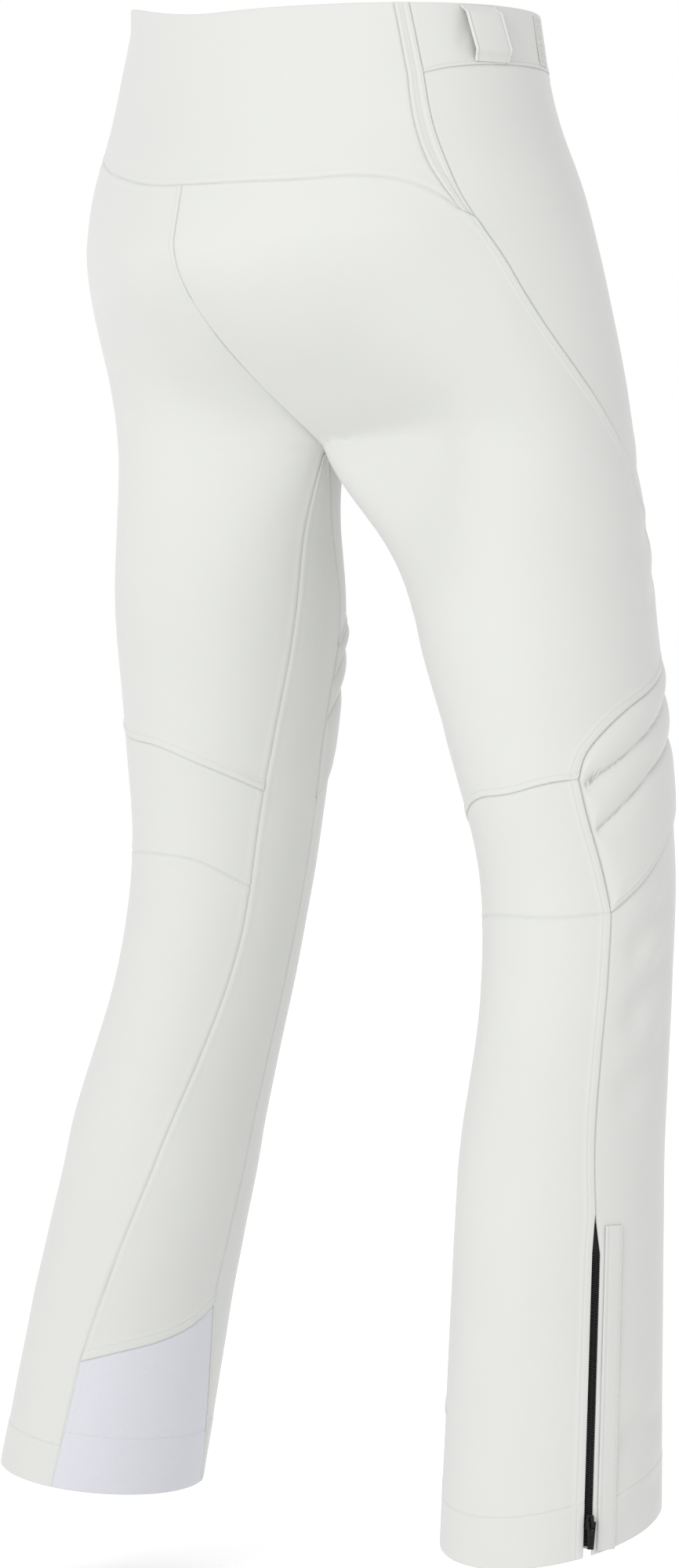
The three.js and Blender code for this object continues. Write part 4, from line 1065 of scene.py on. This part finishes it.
def sewThread(side):
    centres, axes, ups = [], [], []
    for points, normals in stitchLines[side]:
        steps = np.linalg.norm(np.diff(points, axis=0), axis=1)
        run = np.concatenate([[0], np.cumsum(steps)])
        if run[-1] < 2 * stitch["pitch"]:
            continue
        at = np.arange(stitch["pitch"], run[-1] - stitch["pitch"] / 2, stitch["pitch"])

        def pick(values, where):
            return np.stack([np.interp(where, run, values[:, k]) for k in range(3)], -1)

        along = pick(points, at + 0.6) - pick(points, at - 0.6)
        along /= np.linalg.norm(along, axis=1, keepdims=True)
        up = pick(normals, at)
        up -= along * (up * along).sum(-1, keepdims=True)
        up /= np.linalg.norm(up, axis=1, keepdims=True)
        centres.append(pick(points, at) + up * stitch["lift"])
        axes.append(along)
        ups.append(up)
    piece = rods(f"seamThread{sideName[side]}", np.concatenate(centres), np.concatenate(axes),
                 np.concatenate(ups), stitch["length"], stitch["width"], stitch["height"], thread, 5,
                 [(-1, 0.4), (-0.6, 0.95), (0.6, 0.95), (1, 0.4)])
    wear(piece, "garment", "softshell")
    print(f"{piece.name}: {sum(len(c) for c in centres)} stitches")


# Belt loops: a folded strap, stitched along both edges, sewn down at its ends
beltLoop = {"thickness": 1.2, "across": 24, "down": 60, "lift": 5.4, "u": 0.49, "lean": 0.018,
            "span": 0.07, "margin": 1.5, "stand": 1.6, "rollAt": 1.1, "roll": 0.55,
            "rollHalf": 0.6, "stitchAt": 2.2, "stitchDip": 0.5, "stitchHalf": 0.4,
            "tackAt": 3.2, "tackDip": 0.35, "tackHalf": 0.5}


def addBeltLoop(side):
    low, top = pattern["waistband"] - beltLoop["margin"], beltLoop["margin"]
    front = straightSeam((beltLoop["u"] + beltLoop["lean"], top), (beltLoop["u"], low))
    back = shiftSeam(front, beltLoop["span"])

    def bulge(s, t):
        return beltLoop["stand"] + beltLoop["lift"] * ease(5 * t) * ease(5 * (1 - t))

    def ridges(u, drop, to):
        across = np.minimum(to["left"], to["right"])
        along = np.minimum(to["top"], to["low"])
        rolled = beltLoop["roll"] * bell(across, beltLoop["rollAt"], beltLoop["rollHalf"])
        stitched = beltLoop["stitchDip"] * bell(across, beltLoop["stitchAt"], beltLoop["stitchHalf"])
        return rolled - stitched - beltLoop["tackDip"] * bell(along, beltLoop["tackAt"],
                                                              beltLoop["tackHalf"])

    piece = layer(f"beltLoop{sideName[side]}", side, {
        "left": front, "right": back, "top": straightSeam(front(0.0), back(0.0)),
        "low": straightSeam(front(1.0), back(1.0))}, beltLoop, bulge, softshell, relief=ridges,
        edgeLines=(1.1, 1.7, 2.2, 2.7))
    wear(piece, "garment", "softshell", f"{nodeSide[side]}_belt_loop")
    declareSheet(piece)


# Zips: tape, two rows of interlocking coil, slider and pull
zipCoil = {"pitch": 1.35, "reach": 3.0, "width": 0.85, "height": 1.1, "thickness": 1.3}
zipTapes = {"thickness": 0.8, "across": 24, "down": 60, "width": 22}


def addCoil(name, side, u, dropFrom, dropTo, lift, width, node):
    count = int((dropTo - dropFrom) / (zipCoil["pitch"] / 2))
    drops = np.linspace(dropFrom + 0.8, dropTo - 0.8, count)
    point, normal, down, across = localFrame(side, np.full(count, u), drops)
    shift = np.where(np.arange(count) % 2, 1.0, -1.0)[:, None] * (width - zipCoil["reach"]) / 2
    piece = rods(name, point + normal * (lift - zipCoil["height"] / 2) + across * shift, across,
                 normal, zipCoil["reach"], zipCoil["width"], zipCoil["height"], coilNylon)
    wear(piece, "garment", "zip_coil", node)
    return piece


def tapeRelief(centreGap):
    def at(u, drop, to):
        middle = np.minimum(to["left"], to["right"])
        half = (to["left"] + to["right"]) / 2
        return -0.25 * bell(half, middle, centreGap) + 0.08 * np.sin(middle * 2.4)
    return at


hardware = {"bodyWidth": 6.4, "bodyLength": 9, "bodyThickness": 2.2, "bridgeWidth": 1.8,
            "bridgeLength": 6.4, "bridgeHeight": 3.4, "pinCentre": 1.35, "pinHole": 2.2,
            "pullWidth": 6, "pullLength": 17, "pullThickness": 1.1, "eye": 4.2, "lift": 0.6,
            "taper": 0.36, "taperFrom": 0.9, "taperLength": 3.6,
            "dents": 4, "dentFrom": 8.6, "dentPitch": 1.5}


def solidFrom(name, scale, place, bevel, segments=3):
    bpy.ops.mesh.primitive_cube_add(size=1, location=(0, 0, 0))
    piece = bpy.context.object
    piece.name = name
    piece.data.transform(Matrix.Translation(Vector(place) * 0.001)
                         @ Matrix.Diagonal((*(Vector(scale) * 0.001), 1)))
    rounder = piece.modifiers.new("edges", "BEVEL")
    rounder.width = bevel * 0.001
    rounder.segments = segments
    rounder.limit_method = "ANGLE"
    bpy.ops.object.modifier_apply(modifier="edges")
    return piece


def cutWith(piece, tool, operation="DIFFERENCE"):
    cutter = piece.modifiers.new("cut", "BOOLEAN")
    cutter.operation = operation
    cutter.solver = "EXACT"
    cutter.object = tool
    bpy.context.view_layer.objects.active = piece
    bpy.ops.object.modifier_apply(modifier="cut")
    bpy.data.objects.remove(tool)


def barrel(radius, depth, place, turned=(0, 0, 0), vertices=24):
    bpy.ops.mesh.primitive_cylinder_add(radius=radius * 0.001, depth=depth * 0.001,
                                        vertices=vertices, location=Vector(place) * 0.001,
                                        rotation=turned)
    piece = bpy.context.object
    bpy.ops.object.transform_apply(location=True, rotation=True, scale=True)
    return piece


def sliderTemplate():
    # A wedge-shaped body, grooved along its sides for the tape, with the pull's bridge on top
    h = hardware
    bodyPiece = solidFrom("sliderTemplate", (h["bodyWidth"], h["bodyLength"], h["bodyThickness"]),
                          (0, 0, h["bodyThickness"] / 2), 0.45)
    for vertex in bodyPiece.data.vertices:
        past = -vertex.co.y * 1000 - h["taperFrom"]
        if past > 0:
            vertex.co.x *= 1 - h["taper"] * min(1, past / h["taperLength"])
    for x in (-1, 1):
        groove = solidFrom("groove", (1.6, h["bodyLength"] + 2, 0.55),
                           (x * h["bodyWidth"] / 2, 0, h["bodyThickness"] / 2), 0.1, 1)
        cutWith(bodyPiece, groove)
    bridge = solidFrom("bridge", (h["bridgeWidth"], h["bridgeLength"], h["bridgeHeight"]),
                       (0, 0, h["bodyThickness"] + h["bridgeHeight"] / 2 - 0.2), 0.5)
    hole = barrel(h["pinHole"] / 2, h["bridgeWidth"] + 2,
                  (0, 0, h["bodyThickness"] + h["pinCentre"]), (0, math.pi / 2, 0))
    cutWith(bridge, hole)
    cutWith(bodyPiece, bridge, "UNION")
    return bodyPiece


def pullTemplate():
    # A flat tapered tag, hung by its eye from the bridge, with a raised grip
    h = hardware
    tag = solidFrom("pullTemplate", (h["pullWidth"], h["pullLength"], h["pullThickness"]),
                    (0, h["pullThickness"] / 2 - h["pullLength"] / 2, 0), 0.35)
    for vertex in tag.data.vertices:
        along = -vertex.co.y * 1000
        vertex.co.x *= 1 - 0.2 * min(1, max(0, along / 8.5))
        if along > 14.5:
            vertex.co.x *= 1 - 0.3 * (along - 14.5) / 2
    eye = solidFrom("eye", (h["bridgeWidth"] + 1.4, h["eye"], 4),
                    (0, -h["pullThickness"] / 2 - h["eye"] / 2, 0), 0.4)
    cutWith(tag, eye)
    for k in range(h["dents"]):
        place = (0, -h["dentFrom"] - h["dentPitch"] * k, 0.9)
        dent = solidFrom("dent", (3.2, 0.6, 1), place, 0.15, 1)
        cutWith(tag, dent)
    return tag


templates = {"slider": sliderTemplate(), "pull": pullTemplate()}


def zipFrame(side, u, dropFrom, dropTo):
    # The straight line a slider runs on, and how far the cloth bows off it
    onCloth = lambda at, drop: bodyPoint(side, at, settle(side, at, drop))
    top, low = onCloth(u, dropFrom), onCloth(u, dropTo)
    up = (top - low) / np.linalg.norm(top - low)
    middle = bodyNormal(side, u, settle(side, u, (dropFrom + dropTo) / 2))
    across = np.cross(up, middle)
    across /= np.linalg.norm(across)
    out = np.cross(across, up)
    half = hardware["bodyWidth"] / 2 / float(aroundLength(side, u, dropFrom))
    drops, us = np.meshgrid(np.linspace(dropFrom, dropTo, 13), [u - half, u, u + half])
    heights = (onCloth(us, drops) - top) @ out
    return {"top": top, "low": low, "up": up, "across": across, "out": out,
            "outward": max(0, float(heights.max())), "inward": max(0, float(-heights.min()))}


def copyTo(template, name, across, up, out, place):
    piece = template.copy()
    piece.data = template.data.copy()
    piece.name = piece.data.name = name
    bpy.context.collection.objects.link(piece)
    turn = Matrix([[across[k], up[k], out[k], place[k] * 0.001] for k in range(3)] + [[0, 0, 0, 1]])
    piece.data.transform(turn)
    piece.data.materials.clear()
    piece.data.materials.append(blackMetal)
    piece.data.polygons.foreach_set("use_smooth", np.ones(len(piece.data.polygons), bool))
    piece.data.set_sharp_from_angle(angle=math.radians(32))
    return piece


def addSlider(title, stem, bodyStem, frame, point, lift, turned):
    across, up, out = frame["across"], frame["up"], frame["out"]
    flip = -1 if turned else 1
    slider = copyTo(templates["slider"], f"{title}Slider", across * flip, up * flip, out,
                    point + out * lift)
    wear(slider, f"{bodyStem}_slider_body", "black_metal", f"{stem}_slider")
    pull = copyTo(templates["pull"], f"{title}Pull", across, up, out,
                  point + out * (lift + hardware["bodyThickness"] + hardware["pinCentre"]))
    wear(pull, f"{bodyStem}_pull_body", "black_metal", f"{stem}_pull")


placket = {"thickness": 0.9, "across": 26, "down": 60, "width": 13, "clear": 2.6, "lift": 1.3}
legZip = {"tapeAbove": 10, "tapeShort": 6, "coilShort": 4, "coilLift": -0.3, "flapAbove": 8,
          "flapShort": 3, "sliderRest": 21}


def addLegZip(side):
    title, node, u = f"legZip{sideName[side]}", f"{nodeSide[side]}_leg_zip", pattern["zipU"]
    hem = float(hemDrop(side, u))
    top = hem - pattern["zipLength"]
    perU = float(aroundLength(side, u, pattern["zipLevel"]))
    coilWidth = pattern["zipGap"] - 2 * pattern["gap"]
    coil = addCoil(f"{title}Coil", side, u, top + pattern["zipMouth"], hem - legZip["coilShort"],
                   legZip["coilLift"], coilWidth,
                   f"{node}_coil")
    tapeEdges = strip(side, u, top - legZip["tapeAbove"], hem - legZip["tapeShort"],
                      zipTapes["width"])
    tape = layer(f"{title}Tape", side, tapeEdges, zipTapes,
                 -pattern["shell"] - 2 * pattern["gap"], zipTape, relief=tapeRelief(0.8))
    wear(tape, "garment", "zip_tape", f"{node}_tape")
    declareSheet(tape)
    centre = u - (pattern["zipGap"] / 2 + placket["clear"] + placket["width"] / 2) / perU

    def folded(u, drop, to):
        fold = 0.35 * bell(to["right"], 1.0, 0.7)
        zigzag = 0.28 * bell(to["left"] - 1.6, 0.7 * np.sin(drop * 2.1), 0.3)
        return fold - zigzag - 0.2 * bell(to["right"], 3.0, 0.4)

    flapEdges = strip(side, centre, top - legZip["flapAbove"], hem - legZip["flapShort"],
                      placket["width"])
    flap = layer(f"{title}Placket", side, flapEdges,
                 {**placket, "down": 220}, placket["lift"], softshell, relief=folded,
                 edgeLines=(1.0, 1.6, 2.2, 3.0))
    wear(flap, "garment", "softshell", f"{node}_placket")
    declareSheet(flap)
    frame = zipFrame(side, u, top, hem)
    rest = frame["low"] + frame["up"] * legZip["sliderRest"]
    addSlider(title, node, node, frame, rest, hardware["lift"], True)


# Snow gaiters: loose inner sleeves, drawn in by an elastic
gaiter = {"thickness": 1, "across": 240, "down": 26, "top": 800, "low": 900, "wave": 0.55,
          "fullness": 1.06, "lift": -6.1, "pleats": 34}
elastic = {"thickness": 2.4, "across": 240, "down": 10, "height": 10, "lift": -5.3, "ribs": 96}


def addGaiter(side):
    name, node = sideName[side], nodeSide[side]

    def gathered(u, drop, to):
        phase = 2 * math.pi * u
        pleats = np.sin(gaiter["pleats"] * phase + 1.1 * np.sin(5 * phase)) * (1 - ease(to["low"] / 60))
        return -0.3 + gaiter["wave"] * 0.5 * pleats - 0.2 * bell(to["top"], 6, 0.6)

    sleeve = layer(f"snowGaiter{name}", side, rectangle(0, 1, gaiter["top"], gaiter["low"]),
                   gaiter, gaiter["lift"], gaiterCloth, around=True, relief=gathered)
    wear(sleeve, "garment", "gaiter_cloth", f"{node}_snow_gaiter")
    low = gaiter["low"] + pattern["gap"]

    def knitted(u, drop, to):
        ribs = np.sin(2 * math.pi * elastic["ribs"] * u)
        return -0.25 + 0.2 * ribs * ease(to["top"]) * ease(to["low"])

    band = layer(f"gaiterElastic{name}", side, rectangle(0, 1, low, low + elastic["height"]),
                 elastic, elastic["lift"], elasticKnit, around=True, relief=knitted)
    wear(band, "garment", "elastic", f"{node}_gaiter_elastic")
    declareSheet(sleeve)


pocket = {"u": 0.2, "top": 75, "low": 190, "width": 12, "reach": 0.08, "below": 30,
          "strip": 1.1, "sink": 0.2}
pocketStrip = {"thickness": 0.9, "across": 20, "down": 60}
pocketBag = {"thickness": 1.4, "across": 40, "down": 50}


def addPocket(side):
    name, node = sideName[side], f"{nodeSide[side]}_pocket"
    face = 2 * pattern["gap"] + pocket["strip"]
    tape = layer(f"pocketZip{name}", side,
                 strip(side, pocket["u"], pocket["top"], pocket["low"], pocket["width"]),
                 pocketStrip, face - pocket["sink"], zipTape, relief=tapeRelief(0.5))
    wear(tape, "garment", "zip_tape", f"{node}_zip")
    declareSheet(tape)
    u = pocket["u"]
    bag = layer(f"pocketBag{name}", side, rectangle(
        u - pocket["reach"], u + pocket["reach"], pocket["top"], pocket["low"] + pocket["below"]),
        pocketBag, -pattern["shell"] - pattern["innerGap"] - pattern["gap"], pocketCloth,
        relief=lambda u, drop, to: -0.25 * bell(np.minimum(np.minimum(
            to["left"], to["right"]), to["low"]), 5, 0.7))
    wear(bag, "garment", "pocket_cloth", f"{node}_bag")
    declareSheet(bag)
    frame = zipFrame(side, u, pocket["top"], pocket["low"])
    addSlider(f"pocket{name}", node, f"{nodeSide[side]}_pocket_zip", frame,
              frame["top"] - frame["up"] * hardware["bodyLength"],
              face + hardware["lift"] + frame["outward"], False)


fly = {"top": 50, "low": 158, "tapePast": 4, "sliderSink": 0.8}


def addFly():
    coilFace = -pattern["shell"] - pattern["innerGap"]
    tapeFace = coilFace - zipCoil["thickness"] - 2 * pattern["gap"]
    coil = addCoil("flyCoil", 1, 0.0, fly["top"], fly["low"], coilFace - 0.1,
                   pattern["zipGap"] - 2 * pattern["gap"], "fly_coil")
    tapeEdges = strip(1, 0.0, fly["top"] - fly["tapePast"], fly["low"] + fly["tapePast"],
                      zipTapes["width"])
    tape = layer("flyTape", 1, tapeEdges, zipTapes, tapeFace, zipTape, relief=tapeRelief(0.8))
    wear(tape, "garment", "zip_tape", "fly_tape")
    declareSheet(tape)
    frame = zipFrame(1, 0.0, fly["top"], fly["low"])
    rest = frame["top"] - frame["up"] * hardware["bodyLength"]
    inside = {**frame, "out": -frame["out"], "across": -frame["across"]}
    addSlider("fly", "fly_zip", "fly_zip", inside, rest,
              fly["sliderSink"] - tapeFace + hardware["lift"] + frame["inward"], False)


# Waist: ribbed lining, hanging loop, and the snapped tab
waistLining = {"thickness": 1.1, "across": 420, "down": 10}
hangingLoop = {"thickness": 1.2, "across": 90, "down": 6, "lift": 5.4, "halfU": 0.07}
waistTab = {"thickness": 1.4, "across": 70, "down": 22, "lift": 3.6, "reachU": 0.085, "rootU": 0.09}
snap = {"radius": 6, "thickness": 1.2, "stud": 3.6, "us": (-0.03, -0.062), "drop": 19,
        "capLift": 4.0, "studLift": 1.0, "studThickness": 0.8, "rim": 0.35, "dish": 0.62}
waistRib = {"thickness": 0.8, "across": 16, "down": 100, "pitch": 1.7, "ridge": 0.22}


def addWaistRib(side):
    # Ribbed stretch insert at the front end of the side waistband
    def ribs(u, drop, to):
        inside = ease(np.minimum(to["top"], to["low"]) / 2) * ease(
            np.minimum(to["left"], to["right"]) / 1.5)
        return waistRib["ridge"] * np.sin(2 * math.pi * to["top"] / waistRib["pitch"]) * inside

    piece = layer(f"waistRib{sideName[side]}", side, rectangle(0.345, 0.385, 3, 34), waistRib,
                  0.75, liningKnit, relief=ribs)
    wear(piece, "garment", "rib_lining")
    declareSheet(piece)


def addWaist():
    lining = layer("waistLining", -1, rectangle(0.02, 1.98, 1, 36), waistLining,
                   -pattern["shell"] - pattern["innerGap"], liningKnit)
    wear(lining, "garment", "rib_lining", "waist_lining")
    declareSheet(lining)
    face = -pattern["shell"] - pattern["innerGap"] - waistLining["thickness"] - pattern["gap"]
    loop = layer("hangingLoop", -1, rectangle(
        1 - hangingLoop["halfU"], 1 + hangingLoop["halfU"], 6, 12), hangingLoop,
        lambda s, t: face - hangingLoop["lift"] * np.sin(np.pi * np.clip(s, 0, 1)) ** 0.6, liningKnit)
    wear(loop, "garment", "webbing", "hanging_loop")

    def sewnEdge(u, drop, to):
        edge = np.minimum(np.minimum(to["left"], to["right"]), np.minimum(to["top"], to["low"]))
        return 0.15 * bell(edge, 1.2, 0.7) - 0.3 * bell(edge, 3, 0.4)

    tab = layer("waistTab", 1, rectangle(-waistTab["reachU"], waistTab["rootU"], 5, 33), waistTab,
                waistTab["lift"], softshell, relief=sewnEdge, edgeLines=(1.2, 2.4, 3.0, 3.6))
    wear(tab, "waist_tab_flap", "softshell", "waist_tab")
    for k, u in enumerate(snap["us"], 1):
        point, out, down, across = localFrame(1, np.array(u), np.array(float(snap["drop"])))
        for title, radius, thickness, lift, carrier in (
                ("snapCap", snap["radius"], snap["thickness"], snap["capLift"],
                 "waist_tab_flap"),
                ("snapStud", snap["stud"], snap["studThickness"], snap["studLift"], "garment")):
            disc = barrel(radius, thickness, (0, 0, thickness / 2), vertices=40)
            rim = disc.modifiers.new("rim", "BEVEL")
            rim.width = snap["rim"] * 0.001
            rim.segments = 3
            rim.limit_method = "ANGLE"
            bpy.ops.object.modifier_apply(modifier="rim")
            if title == "snapCap":
                dish = barrel(radius * snap["dish"], 1, (0, 0, thickness + 0.25), vertices=40)
                cutWith(disc, dish)
            piece = copyTo(disc, f"{title}{k}", across, -down, out, point + out * lift)
            bpy.data.objects.remove(disc)
            wear(piece, carrier, "black_metal",
                 f"snap_{'cap' if title == 'snapCap' else 'stud'}_{k}")
    declareSheet(tab)


for side in (-1, 1):
    sewThread(side)
    addBeltLoop(side)
    addWaistRib(side)
    addLegZip(side)
    addGaiter(side)
    addPocket(side)
addFly()
addWaist()
for template in templates.values():
    bpy.data.objects.remove(template)
print("trims fitted")


# Studio
floorSet = {"level": -1.04, "half": 9, "colour": "#ffffff", "glow": 0.06}
softboxes = {
    "keySoftbox": {"spot": (-0.8, 2.9, 0.75), "aim": (0, 0, -0.45), "size": 1.5, "watts": 34},
    "sideSoftbox": {"spot": (-3.0, 1.6, 0.2), "aim": (0, 0, -0.5), "size": 1.6, "watts": 7},
}


def addStudio():
    half = floorSet["half"]
    floor = meshFrom("studioFloor", np.array([
        (-half, -half, 0), (half, -half, 0), (half, half, 0), (-half, half, 0)]) * 1000
        + [0, 0, floorSet["level"] * 1000], [np.array([[0, 1, 2, 3]])])
    material, shader = startMaterial("palePaperFloor", {
        "Base Color": fromHex(floorSet["colour"]), "Roughness": 0.9, "Specular IOR Level": 0.1,
        "Emission Color": (1, 1, 1, 1), "Emission Strength": floorSet["glow"]})
    floor.data.materials.append(material)
    world = bpy.data.worlds.new("studioWorld")
    world.use_nodes = True
    world.node_tree.nodes["Background"].inputs["Color"].default_value = (1, 1, 1, 1)
    world.node_tree.nodes["Background"].inputs["Strength"].default_value = 1.0
    bpy.context.scene.world = world
    for name, box in softboxes.items():
        data = bpy.data.lights.new(name, "AREA")
        data.shape = "SQUARE"
        data.size = box["size"]
        data.energy = box["watts"]
        lamp = bpy.data.objects.new(name, data)
        lamp.location = box["spot"]
        toward = Vector(box["aim"]) - Vector(box["spot"])
        lamp.rotation_euler = toward.to_track_quat("-Z", "Y").to_euler()
        bpy.context.collection.objects.link(lamp)
    bpy.context.scene.view_settings.view_transform = "Standard"


addStudio()
print("studio lit")
